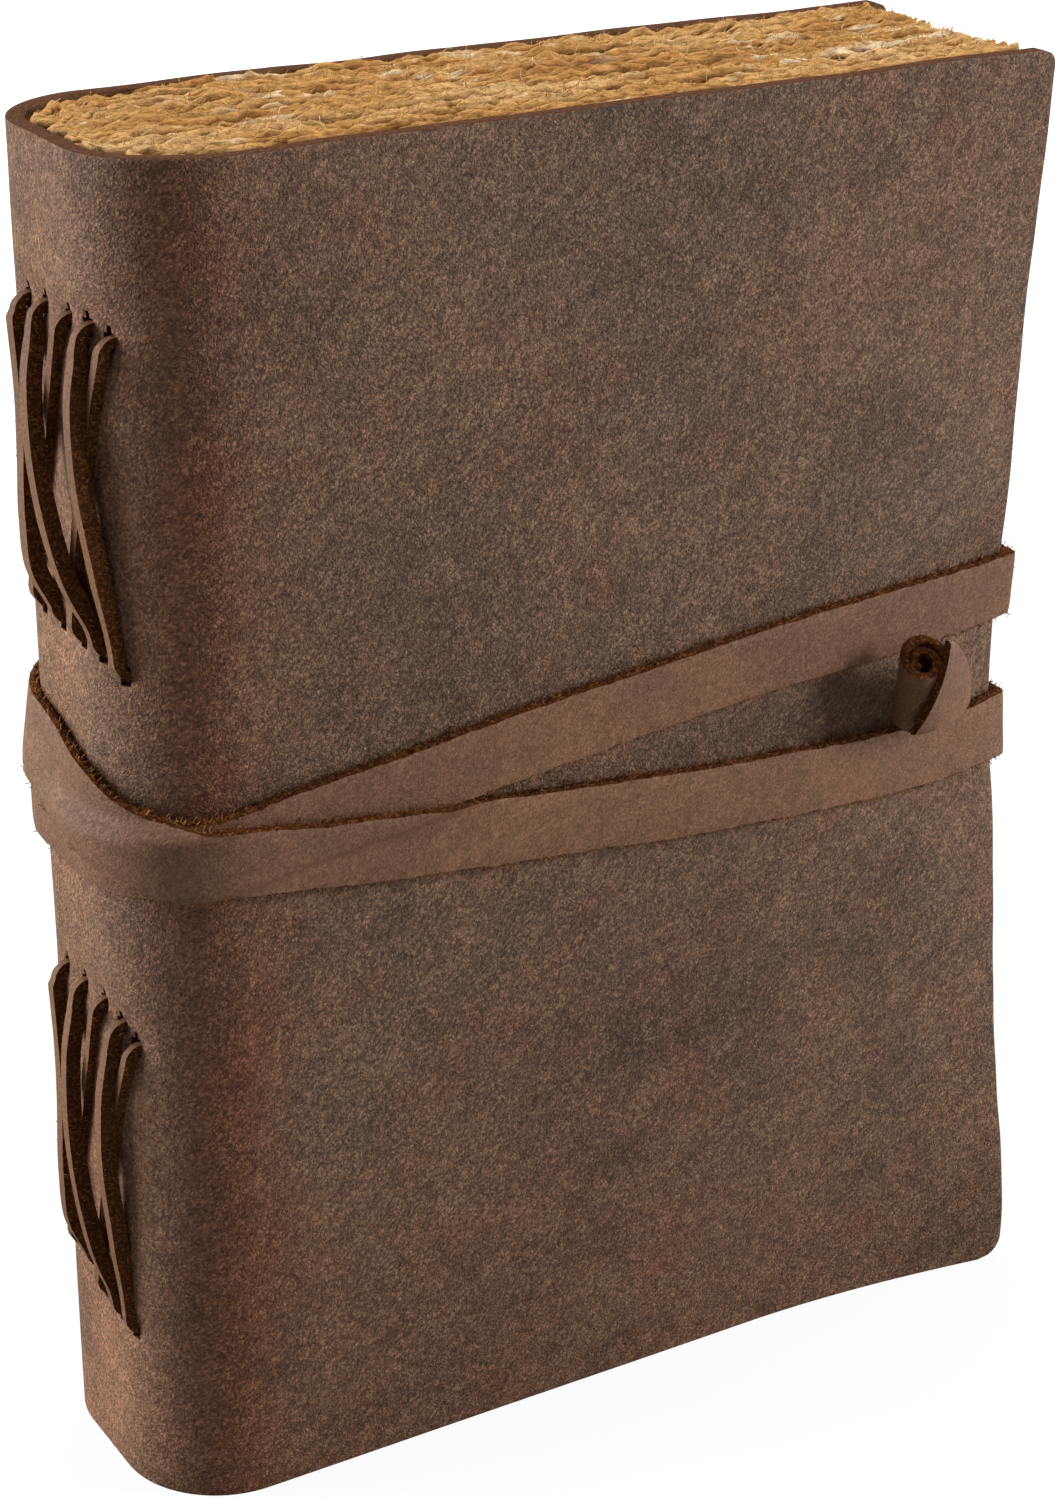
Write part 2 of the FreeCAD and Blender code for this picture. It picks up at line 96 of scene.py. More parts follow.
def add(tree, kind, inputs=None, stops=(), **settings):
    """Adds a node and sets its properties. An input, by name or number, takes a value, a hex
    colour, a socket, or a node, which gives its first live output. stops are the places and
    hex colours of a ramp, in rising order."""
    made = tree.nodes.new(kind)
    for name, value in settings.items():
        setattr(made, name, value)
    for socket, value in (inputs or {}).items():
        if isinstance(value, bpy.types.Node):
            value = next(output for output in value.outputs if output.enabled)
        if isinstance(value, bpy.types.NodeSocket):
            tree.links.new(value, made.inputs[socket])
        elif isinstance(value, str) and value.startswith("#"):
            made.inputs[socket].default_value = colour(value)
        else:
            made.inputs[socket].default_value = value
    for number, (at, code) in enumerate(stops):
        bands = made.color_ramp.elements
        if number == len(bands):
            bands.new(at)
        bands[number].position = at
        bands[number].color = colour(code)
    return made


def empty_material(name):
    """A material with an empty node tree, and the place on the closed book that it colours."""
    material = bpy.data.materials.new(name)
    material.use_nodes = True
    material.node_tree.nodes.clear()
    place = add(material.node_tree, "ShaderNodeTexCoord").outputs["Object"]
    return material, material.node_tree, place


def soft_box(name, place, aim, wide, high, watts):
    lamp = bpy.data.lights.new(name, "AREA")
    lamp.shape = "RECTANGLE"
    lamp.size = wide
    lamp.size_y = high
    lamp.energy = watts
    stand = bpy.data.objects.new(name, lamp)
    stand.location = place
    stand.rotation_euler = (Vector(aim) - Vector(place)).to_track_quat("-Z", "Y").to_euler()
    bpy.context.scene.collection.objects.link(stand)


book_middle = (0.0, 0.0, 0.09)
soft_box("box_right", (0.90, -0.62, 0.40), book_middle, 0.35, 0.5, 10.4)
soft_box("box_left", (-0.86, 0.52, 0.40), book_middle, 0.6, 0.8, 13.6)
soft_box("box_top", (0.10, 0.10, 1.10), book_middle, 0.6, 0.6, 7.6)

world = bpy.data.worlds.new("pale_room")
bpy.context.scene.world = world
world.use_nodes = True
room = world.node_tree
room.nodes.clear()
seen = add(room, "ShaderNodeLightPath").outputs
behind_book = add(room, "ShaderNodeMath", {0: seen["Is Camera Ray"], 1: seen["Is Glossy Ray"]},
                  operation="MAXIMUM")
fill_light = add(room, "ShaderNodeBackground", {"Color": "#ffffff", "Strength": 0.075})
white_wall = add(room, "ShaderNodeBackground", {"Color": "#ffffff", "Strength": 1.0})
either = add(room, "ShaderNodeMixShader", {0: behind_book, 1: fill_light, 2: white_wall})
add(room, "ShaderNodeOutputWorld", {"Surface": either})

# Matt grey paint: it lights the book softly from below. To the camera it glows nearly white, and
# wholly white far off, where it meets the white wall.
floor_paint, sweep, place = empty_material("pale_painted_sweep")
away = add(sweep, "ShaderNodeVectorMath", {0: place}, operation="LENGTH")
whiter = add(sweep, "ShaderNodeMapRange", {0: away, 1: 0.12, 2: 0.7, 3: 0.64, 4: 1.0})
seen = add(sweep, "ShaderNodeLightPath").outputs["Is Camera Ray"]
share = add(sweep, "ShaderNodeMath", {0: seen, 1: whiter}, operation="MULTIPLY")
paint = add(sweep, "ShaderNodeBsdfDiffuse", {"Color": "#9c9b99"})
glow = add(sweep, "ShaderNodeEmission", {"Color": "#ffffff", "Strength": 1.42})
either = add(sweep, "ShaderNodeMixShader", {0: share, 1: paint, 2: glow})
add(sweep, "ShaderNodeOutputMaterial", {"Surface": either})

floor_half = 3.0
floor_mesh = bpy.data.meshes.new("floor")
floor_mesh.from_pydata([(x * floor_half, y * floor_half, 0.0)
                        for x, y in ((-1, -1), (1, -1), (1, 1), (-1, 1))], [], [(0, 1, 2, 3)])
floor_mesh.materials.append(floor_paint)
floor = bpy.data.objects.new("floor", floor_mesh)
bpy.context.scene.collection.objects.link(floor)

# The cover is one hide of oil-tanned buffalo leather, left raw at its edges. It makes the front,
# the rounded spine and the back, and it is sewn to the paper through two rows of slits.
front_low, front_high = (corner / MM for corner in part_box("front_cover"))
head = front_high.z
fore_edge = front_high.x
fold_line = front_low.x                 # where the rounded spine meets the flat cover
front_face = front_low.y
back_face = -front_face
hide_thick = front_high.y - front_low.y
spine_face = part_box("spine")[0].x / MM
fold_radius = fold_line - spine_face
flat_half = back_face - fold_radius     # flat strip between the two folds
middle = head / 2

# Places on the hide are (u, z): u runs along the hide from the middle of the spine, positive
# round the front and negative round the back, and on round the fore edge, where the strap goes.
fold_u = flat_half + fold_radius * math.pi / 2
edge_u = fold_u + fore_edge - fold_line
corner_u = 2.0                          # stretch of u that is spent turning at the fore edge
wrap_u = edge_u + corner_u + back_face  # half way across the fore edge


def flowing(places, values, at):
    """A smooth line through a few chosen places, level beyond its ends."""
    places, values = np.array(places, float), np.array(values, float)
    at = np.clip(at, places[0], places[-1])
    slopes = np.gradient(values, places)
    slopes[[0, -1]] = 0.0
    k = np.clip(np.searchsorted(places, at) - 1, 0, len(places) - 2)
    span = places[k + 1] - places[k]
    t = (at - places[k]) / span
    return ((1 + 2 * t) * (1 - t) ** 2 * values[k] + t * (1 - t) ** 2 * span * slopes[k]
            + t * t * (3 - 2 * t) * values[k + 1] + t * t * (t - 1) * span * slopes[k + 1])


def drawn_in(x, y, z):
    """How far the tight strap has moved a point of the closed book, along Y."""
    limp_from = 26.0
    share = np.clip((x - limp_from) / (fore_edge - limp_from), 0, 1) ** 1.7
    front = flowing((0, 12, 26, 45, 66, 84, 98, 116, 150, 178),
                    (-4.4, -3.9, -1.5, 1.4, 3.6, 6.4, 6.6, 5.3, 3.3, 1.3), z)
    back = flowing((0, 45, 70, 95, 115, 150, 178), (1.6, 0.2, -2.4, -4.6, -3.6, -1.2, -0.4), z)
    across = (y - front_face) / (back_face - front_face)
    return share * (front * (1 - across) + back * across)


def outline(u, z):
    """The hide's outer face, and beyond the fore edge the line that the strap follows."""
    along = np.abs(u)
    turn = (np.clip(along, flat_half, fold_u) - flat_half) / fold_radius
    past_edge = np.clip(along - edge_u - corner_u, 0, None)
    x = fold_line - fold_radius * np.cos(turn) + np.clip(along - fold_u, 0, edge_u - fold_u)
    y = np.minimum(along, flat_half) + fold_radius * np.sin(turn) - past_edge
    y = -np.sign(u) * y
    return x, y + drawn_in(x, y, z)


def on_book(u, z, lift):
    """Points (x, y, z) that lie lift off the hide's outer face."""
    u, z = np.broadcast_arrays(np.asarray(u, float), np.asarray(z, float))
    step = 0.05
    side = np.where(u < 0, -1.0, 1.0)
    near = side * np.minimum(np.abs(u), edge_u - 2 * step)
    x0, y0 = outline(near - step, z)
    x1, y1 = outline(near + step, z)
    nx, ny = y1 - y0, x0 - x1
    length = np.hypot(nx, ny)
    turned = np.clip((np.abs(u) - edge_u) / corner_u, 0, 1) * math.pi / 2
    nx, ny = nx / length * np.cos(turned) + np.sin(turned), ny / length * np.cos(turned)
    length = np.hypot(nx, ny)
    x, y = outline(u, z)
    return np.stack([x + nx / length * lift, y + ny / length * lift, z + 0 * x], axis=-1)


def lumps(points, pitch, seed):
    """Smooth noise from -1 to 1 at places on the book, with lumps about pitch across."""
    shift = Vector((seed * 7.31, seed * 3.17, seed * 5.83))
    flat = points.reshape(-1, 3) / pitch
    values = [noise.noise(Vector(p) + shift) for p in flat]
    return np.array(values).reshape(points.shape[:-1])


def piece(name, points, faces, materials, kinds=None, marks=None):
    """A mesh object from points in millimetres. kinds picks a material for each face, and marks
    are named numbers for each point."""
    mesh = bpy.data.meshes.new(name)
    mesh.from_pydata((np.asarray(points, float).reshape(-1, 3) * MM).tolist(), [], faces)
    for material in materials:
        mesh.materials.append(material)
    if kinds is not None:
        mesh.polygons.foreach_set("material_index", np.asarray(kinds, np.int32))
    for label, values in (marks or {}).items():
        mark = mesh.attributes.new(label, "FLOAT", "POINT")
        mark.data.foreach_set("value", np.asarray(values, np.float32).ravel())
    mesh.polygons.foreach_set("use_smooth", [True] * len(mesh.polygons))
    made = bpy.data.objects.new(name, mesh)
    bpy.context.scene.collection.objects.link(made)
    return made


def finished(made):
    """Makes the object's modifiers part of its mesh."""
    bpy.context.view_layer.update()
    seen_by = bpy.context.evaluated_depsgraph_get()
    mesh = bpy.data.meshes.new_from_object(made.evaluated_get(seen_by), depsgraph=seen_by)
    made.modifiers.clear()
    made.data = mesh
    return made


def keep_creases(made, least=35.0):
    """Marks edges sharper than least degrees, so that smooth shading stops there."""
    work = bmesh.new()
    work.from_mesh(made.data)
    for edge in work.edges:
        if len(edge.link_faces) == 2:
            edge.smooth = edge.calc_face_angle(0.0) < math.radians(least)
    work.to_mesh(made.data)
    work.free()


def blotches(tree, place, size, detail=2.0, rough=0.5, seed=0.0, stretch=None):
    """Cloudy spots from 0 to 1 that are size millimetres across. stretch turns them by its
    first three numbers and lengthens them by the other three."""
    if stretch:
        place = add(tree, "ShaderNodeMapping", {
            "Vector": place, "Rotation": stretch[0], "Scale": stretch[1]}, vector_type="TEXTURE")
    return add(tree, "ShaderNodeTexNoise", {
        "Vector": place, "W": seed, "Scale": 1 / (size * MM), "Detail": detail,
        "Roughness": rough}, noise_dimensions="4D")


# Pull-up leather: waxed grain that has been rubbed. Oil has clouded it in big soft patches, red,
# slate brown and olive show in smaller ones, and every pebble has a pale top and a dark rim.
def pull_up_leather(name, clouds, patches, pit, crown, pebble, relief, rough):
    """patches is how strong the small patches are, pit how deep the pebbles' shading is, crown
    how pale their tops are. pebble and relief are their size and height in millimetres."""
    material, tree, place = empty_material(name)
    slant = (0.0, math.radians(-40), 0.0)
    grain = blotches(tree, place, pebble, 2.0, 0.7, 2.2, (slant, (1.5, 1.0, 1.0)))
    fine = blotches(tree, place, pebble * 0.55, 2.0, 0.6, 7.7, (slant, (1.5, 1.0, 1.0)))
    rubbed = blotches(tree, place, 1.6, 4.0, 0.7, 6.6, (slant, (6.0, 1.0, 1.0)))
    mottled = blotches(tree, place, 2.6, 4.0, 0.7, 8.2)
    stray = add(tree, "ShaderNodeTexNoise", {"Vector": place, "Scale": 1 / (1.1 * MM),
                                             "Detail": 1.0}).outputs["Color"]
    strayed = add(tree, "ShaderNodeMix", {0: 0.0006, 6: place, 7: stray}, data_type="RGBA",
                  blend_type="ADD")
    creases = add(tree, "ShaderNodeTexVoronoi", {
        "Vector": strayed, "Scale": 1 / (pebble * 1.6 * MM)}, feature="DISTANCE_TO_EDGE")

    drift = add(tree, "ShaderNodeMapRange", {
        0: blotches(tree, place, 40.0, 3.0, 0.55, 1.7), 1: 0.32, 2: 0.68})
    base = add(tree, "ShaderNodeValToRGB", {0: drift}, clouds)
    for size, detail, broken, seed, low, high, most, paint in (
            (9.0, 4.0, 0.60, 5.1, 0.50, 0.68, 0.8 * patches, "#83513a"),
            (13.0, 5.0, 0.62, 9.3, 0.52, 0.70, patches, "#50423a"),
            (6.0, 4.0, 0.65, 12.9, 0.52, 0.70, 0.8 * patches, "#8a6c53")):
        spots = blotches(tree, place, size, detail, broken, seed)
        share = add(tree, "ShaderNodeMapRange", {0: spots, 1: low, 2: high, 4: most})
        base = add(tree, "ShaderNodeMix", {0: share, 6: base, 7: paint}, data_type="RGBA")
    # Oil stains with painted shade by the strap, painted shade in the fold with a darker red low on
    # the front, and paler tan on the spine.
    for mark, paint in (("stain", "#3d302b"), ("fold_shade_and_foot_red", "#764228"), ("tan", "#a8795a")):
        share = add(tree, "ShaderNodeAttribute", attribute_name=mark).outputs["Fac"]
        base = add(tree, "ShaderNodeMix", {0: share, 6: base, 7: paint}, data_type="RGBA")
    worn = add(tree, "ShaderNodeMapRange", {
        0: blotches(tree, place, 5.0, 3.0, 0.6, 3.9), 1: 0.35, 2: 0.68, 3: 0.35})
    tops = add(tree, "ShaderNodeMapRange", {0: grain, 1: 0.52, 2: 0.66, 4: crown})
    share = add(tree, "ShaderNodeMath", {0: tops, 1: worn}, operation="MULTIPLY")
    base = add(tree, "ShaderNodeMix", {0: share, 6: base, 7: "#b08a68"}, data_type="RGBA")

    tone = 1.0
    for pattern, low, high, darker, lighter in (
            (grain, 0.36, 0.62, 1.0, 0.6), (fine, 0.36, 0.64, 0.5, 0.4),
            (rubbed, 0.3, 0.7, 0.3, 0.3), (mottled, 0.3, 0.7, 0.45, 0.45),
            (creases, 0.0, 0.14, 0.45, 0.0)):
        step = add(tree, "ShaderNodeMapRange", {
            0: pattern, 1: low, 2: high, 3: 1.0 - darker * pit, 4: 1.0 + lighter * pit})
        tone = add(tree, "ShaderNodeMath", {0: tone, 1: step}, operation="MULTIPLY")
    toned = add(tree, "ShaderNodeVectorMath", {0: base, 3: tone}, operation="SCALE")
    gloss = add(tree, "ShaderNodeMapRange", {
        0: grain, 1: 0.3, 2: 0.7, 3: rough + 0.12, 4: rough - 0.05})
    between = add(tree, "ShaderNodeMapRange", {0: creases, 2: 0.2, 4: 0.35})
    height = add(tree, "ShaderNodeMath", {0: grain, 1: between}, operation="ADD")
    bump = add(tree, "ShaderNodeBump", {"Height": height, "Strength": 1.0,
                                        "Distance": relief * MM})
    surface = add(tree, "ShaderNodeBsdfPrincipled", {
        "Base Color": toned, "Roughness": gloss, "Specular IOR Level": 0.24, "Normal": bump})
    add(tree, "ShaderNodeOutputMaterial", {"Surface": surface})
    return material


# Raw cut leather: the loose fibre of the hide's middle, red-brown and furry, without any shine.
def raw_cut(name, dark, mid, light):
    material, tree, place = empty_material(name)
    fibre = blotches(tree, place, 0.5, 3.0, 0.7, 4.4)
    spread = add(tree, "ShaderNodeMapRange", {0: fibre, 1: 0.28, 2: 0.74})
    base = add(tree, "ShaderNodeValToRGB", {0: spread}, ((0.0, dark), (0.5, mid), (1.0, light)))
    bump = add(tree, "ShaderNodeBump", {"Height": fibre, "Strength": 1.0, "Distance": 0.35 * MM})
    surface = add(tree, "ShaderNodeBsdfPrincipled", {
        "Base Color": base, "Roughness": 0.95, "Specular IOR Level": 0.15, "Normal": bump})
    add(tree, "ShaderNodeOutputMaterial", {"Surface": surface})
    return material


# Oiled buffalo grain: open pebbles, deeply shaded, on browns that run from umber to tan. Its cut
# edge has drunk the oil and is dark, and its flesh side is a paler, even suede.
cover_grain = pull_up_leather(
    "oiled_buffalo_grain",
    ((0.0, "#5f493b"), (0.35, "#765c4b"), (0.65, "#82634e"), (1.0, "#86624e")),
    patches=0.52, pit=0.54, crown=0.42, pebble=0.38, relief=0.16, rough=0.60)
cover_cut = raw_cut("raw_hide_edge", "#28160a", "#52311b", "#7f5431")
cover_flesh = raw_cut("suede_flesh_side", "#5b3f2b", "#76563c", "#8d6b4c")

# Slits for the laces: two rows, each with five slits at the head and five at the tail of its
# stitches, given as (y, z) in the order of the gatherings from the back to the front.
lace_wide = {"upper": 2.1, "lower": 1.7}
lace_thick = 2.0
lace_slits = {
    "upper": (((6.9, 157.6), (1.7, 157.8), (-5.0, 157.9), (-9.7, 157.8), (-12.9, 156.7)),
              ((6.4, 118.9), (0.8, 118.6), (-5.2, 118.1), (-9.8, 117.7), (-12.9, 115.6))),
    "lower": (((7.2, 69.2), (1.3, 69.3), (-4.7, 69.4), (-8.9, 67.8), (-11.6, 65.6)),
              ((7.1, 27.4), (1.8, 27.0), (-1.5, 24.5), (-6.2, 23.8), (-9.3, 22.8)))}


def u_across(y):
    """Place along the hide of a point across the spine."""
    past = max(0.0, abs(y) - flat_half)
    along = min(abs(y), flat_half) + fold_radius * math.asin(past / fold_radius)
    return -math.copysign(along, y)


def ruled(low, high, step, kept=()):
    """Lines from low to high about step apart, through all that are kept."""
    lines = [low] + sorted({round(line, 3) for line in kept if low < line < high}) + [high]
    found = []
    for a, b in zip(lines[:-1], lines[1:]):
        count = max(1, round((b - a) / step))
        found += [a + (b - a) * k / count for k in range(count)]
    return np.array(found + [high])


# Oil and handling have left darker places, and the two long, narrow ones by the strap's turns are
# painted shade: (u, z, half width, half height, depth).
oil_stains_and_band_shade = ((35, 158, 12, 14, 0.4), (52, 118, 17, 11, 0.42), (120, 133, 9, 9, 0.55),
              (122, 62, 14, 12, 0.4), (88, 55, 12, 9, 0.35), (8, 82, 5, 8, 0.35),
              (2, 78, 6, 6, 0.4), (100, 165, 8, 8, 0.35), (70, 20, 18, 9, 0.25),
              (104, 93, 24, 5, 0.6), (62, 108, 24, 5, 0.35), (80, 50, 24, 26, 0.42),
              (-60, 140, 18, 14, 0.45), (-110, 60, 16, 20, 0.4), (-70, 40, 14, 10, 0.4))


def hide_piece(name, u_lines, holes):
    """A stretch of the hide, open at its slits, with its flesh side and raw edges."""
    end_band = 5.0
    z_lines = np.concatenate([
        ruled(0.0, end_band, 0.5)[:-1],
        ruled(end_band, head - end_band, 1.2, [z for hole in holes for z in hole[2:]]),
        ruled(head - end_band, head, 0.5)[1:]])
    u, z = np.meshgrid(u_lines, z_lines, indexing="ij")
    to_end = np.minimum(z, head - z)
    corner = np.where(z > middle, 2.2, 3.6)
    short = np.clip(corner - to_end, 0, corner)
    ragged = np.array([0.25 * noise.noise(Vector((value / 9, 3.1, 0.4))) for value in z_lines])
    limit = edge_u - (corner - np.sqrt(corner ** 2 - short ** 2)) - 0.25 + ragged[None, :]
    soft_from = edge_u - 12.0
    along = np.abs(u)
    squeezed = soft_from + (along - soft_from) * (limit - soft_from) / (edge_u - soft_from)
    u = np.where(along > soft_from, np.sign(u) * squeezed, u)
    flat = on_book(u, z, 0.0)
    head_wave = 0.3 * lumps(flat, 14.0, 3) * np.clip(1 - (head - z) / 4.0, 0, 1)
    settle = np.clip(to_end / 20.0, 0.25, 1)
    lift = settle * (0.30 * lumps(flat, 38.0, 1) + 0.14 * lumps(flat, 13.0, 2))
    for hole in holes:
        away = np.hypot(u - (hole[0] + hole[1]) / 2, z - (hole[2] + hole[3]) / 2)
        lift = lift - 0.5 * np.exp(-(away / 2.4) ** 2)
    points = on_book(u, z, lift - 0.1)
    points[..., 2] += head_wave
    rows, columns = u.shape
    faces = []
    middle_u = (u_lines[:-1] + u_lines[1:]) / 2
    middle_z = (z_lines[:-1] + z_lines[1:]) / 2
    for i in range(rows - 1):
        for j in range(columns - 1):
            if any(h[0] < middle_u[i] < h[1] and h[2] < middle_z[j] < h[3] for h in holes):
                continue
            a = i * columns + j
            faces.append((a, a + columns, a + columns + 1, a + 1))
    rough_side = 0.6 + 0.4 * lumps(flat, 9.0, 6)
    # Oil stains, with painted shade between the strap's turns on the front and above the upper one.
    stain = sum(depth * np.exp(-((u - at_u) / wide_u) ** 2 - ((z - at_z) / high_z) ** 2)
                for at_u, at_z, wide_u, high_z, depth in oil_stains_and_band_shade) * rough_side
    uneven = 0.8 + 0.6 * lumps(flat, 16.0, 8)
    foot = np.clip(1 - z / 55, 0, 1)
    # Painted shade along the fold where the spine turns to the front, and a darker red towards the
    # foot of the front.
    fold_shade_and_foot_red = 0.75 * np.exp(-((u - 24.0) / 9.0) ** 2) * uneven
    fold_shade_and_foot_red = fold_shade_and_foot_red + 0.36 * foot * np.exp(-((u - 55.0) / 40.0) ** 2) * uneven
    tan = (0.55 + 0.35 * foot) * np.exp(-(u / 13.0) ** 2) * uneven
    tan = tan + 0.3 * foot * np.exp(-((u - 38.0) / 20.0) ** 2) * uneven
    made = piece(name, points, faces, (cover_grain, cover_cut, cover_flesh), None,
                 {"stain": np.clip(stain, 0, 1), "fold_shade_and_foot_red": np.clip(fold_shade_and_foot_red, 0, 1),
                  "tan": np.clip(tan, 0, 1)})
    wall = made.modifiers.new("hide", "SOLIDIFY")
    wall.thickness = hide_thick * MM
    wall.offset = -1.0
    wall.material_offset = 2
    wall.material_offset_rim = 1
    soft = made.modifiers.new("rubbed_edges", "BEVEL")
    soft.width = 0.35 * MM
    soft.segments = 2
    soft.angle_limit = math.radians(50)
    finished(made)
    keep_creases(made)
    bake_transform(made)
    return made


holes = []
for heads, tails in lace_slits.values():
    for y, z in heads + tails:
        at = u_across(y)
        if (y, z) in heads:             # the cut is longer than the lace, and gapes above it
            cuts = ((at - 0.9, at + 0.9, z - 1.2, z + 0.9), (at - 0.3, at + 0.3, z + 0.9, z + 1.8))
        else:
            cuts = ((at - 0.75, at + 0.75, z - 0.9, z + 1.5),)
        for cut in cuts:
            holes.append(tuple(round(border / 0.3) * 0.3 for border in cut))
seam_u = -fold_u - 0.5
u_kept = sorted({round(side, 6) for hole in holes for side in hole[:2]})
front_lines = np.concatenate([ruled(seam_u, edge_u - 6.0, 1.2, u_kept)[:-1],
                              ruled(edge_u - 6.0, edge_u, 0.6)])
cover_front = hide_piece("cover_front_and_spine", front_lines, holes)
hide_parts("front_cover", "spine")
back_lines = np.concatenate([ruled(-edge_u, -edge_u + 6.0, 0.6)[:-1],
                             ruled(-edge_u + 6.0, seam_u, 1.2)])
cover_back = hide_piece("cover_back", back_lines, [])
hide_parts("back_cover")


# Loose fibres stand out of the paper's deckles and of the cut sides of the laces and the strap.
# They are short bent hairs on the faces with the mark "raw", drawn several times as thick as
# real ones, which would be too fine to show.
def fibre_tree(name, material):
    tree = bpy.data.node_groups.new(name, "GeometryNodeTree")
    sides = tree.interface
    sides.new_socket("Geometry", in_out="INPUT", socket_type="NodeSocketGeometry")
    for label, kind in (("Fibres per square mm", "NodeSocketFloat"),
                        ("Length", "NodeSocketFloat"), ("Thickness", "NodeSocketFloat"),
                        ("Lean", "NodeSocketFloat"), ("Seed", "NodeSocketInt")):
        sides.new_socket(label, in_out="INPUT", socket_type=kind)
    sides.new_socket("Geometry", in_out="OUTPUT", socket_type="NodeSocketGeometry")
    given = add(tree, "NodeGroupInput").outputs
    raw = add(tree, "GeometryNodeInputNamedAttribute", {"Name": "raw"}, data_type="FLOAT")
    per_metre = add(tree, "ShaderNodeMath", {0: given["Fibres per square mm"], 1: 1e6},
                    operation="MULTIPLY")
    density = add(tree, "ShaderNodeMath", {0: per_metre, 1: raw}, operation="MULTIPLY")
    thrown = add(tree, "GeometryNodeDistributePointsOnFaces", {
        "Mesh": given["Geometry"], "Density": density, "Seed": given["Seed"]})
    sideways = add(tree, "ShaderNodeMath", {0: given["Length"], 1: 0.55}, operation="MULTIPLY")
    tip = add(tree, "ShaderNodeCombineXYZ", {"X": sideways, "Z": given["Length"]})
    bend_out = add(tree, "ShaderNodeMath", {0: given["Length"], 1: 0.65}, operation="MULTIPLY")
    bend = add(tree, "ShaderNodeCombineXYZ", {"Z": bend_out})
    hair = add(tree, "GeometryNodeCurveQuadraticBezier", {
        "Resolution": 3, "Start": (0, 0, 0), "Middle": bend, "End": tip})
    section = add(tree, "GeometryNodeCurvePrimitiveCircle", {
        "Resolution": 3, "Radius": given["Thickness"]})
    tube = add(tree, "GeometryNodeCurveToMesh", {
        "Curve": hair, "Profile Curve": section, "Fill Caps": True})
    jitter = add(tree, "FunctionNodeRandomValue", {
        "Min": (-1, -1, -1), "Max": (1, 1, 1), "Seed": given["Seed"]}, data_type="FLOAT_VECTOR")
    strayed = add(tree, "ShaderNodeVectorMath", {0: jitter, 3: given["Lean"]}, operation="SCALE")
    heading = add(tree, "ShaderNodeVectorMath", {0: thrown.outputs["Normal"], 1: strayed},
                  operation="ADD")
    stood = add(tree, "FunctionNodeAlignRotationToVector", {"Vector": heading}, axis="Z")
    length = add(tree, "FunctionNodeRandomValue", {2: 0.35, 3: 1.0, "Seed": given["Seed"]},
                 data_type="FLOAT")
    grown = add(tree, "GeometryNodeInstanceOnPoints", {
        "Points": thrown, "Instance": tube, "Rotation": stood, "Scale": length})
    real = add(tree, "GeometryNodeRealizeInstances", {"Geometry": grown})
    painted = add(tree, "GeometryNodeSetMaterial", {"Geometry": real, "Material": material})
    both = add(tree, "GeometryNodeJoinGeometry", {0: painted})
    tree.links.new(given["Geometry"], both.inputs[0])
    add(tree, "NodeGroupOutput", {"Geometry": both})
    return tree


def grow_fibres(made, tree, seed, per_square_mm, length, radius, lean):
    """Grows the tree's fibres on the piece, as part of its mesh. Sizes are millimetres."""
    grown = made.modifiers.new(tree.name, "NODES")
    grown.node_group = tree
    values = {"Fibres per square mm": per_square_mm, "Length": length * MM,
              "Thickness": radius * MM, "Lean": lean, "Seed": seed}
    for item in tree.interface.items_tree:
        if item.in_out == "INPUT" and item.name in values:
            grown[item.identifier] = values[item.name]
    finished(made)
    for corner in made.data.vertices:   # the book stands on its lowest hairs
        corner.co.z = max(corner.co.z, 0.0)
    return made


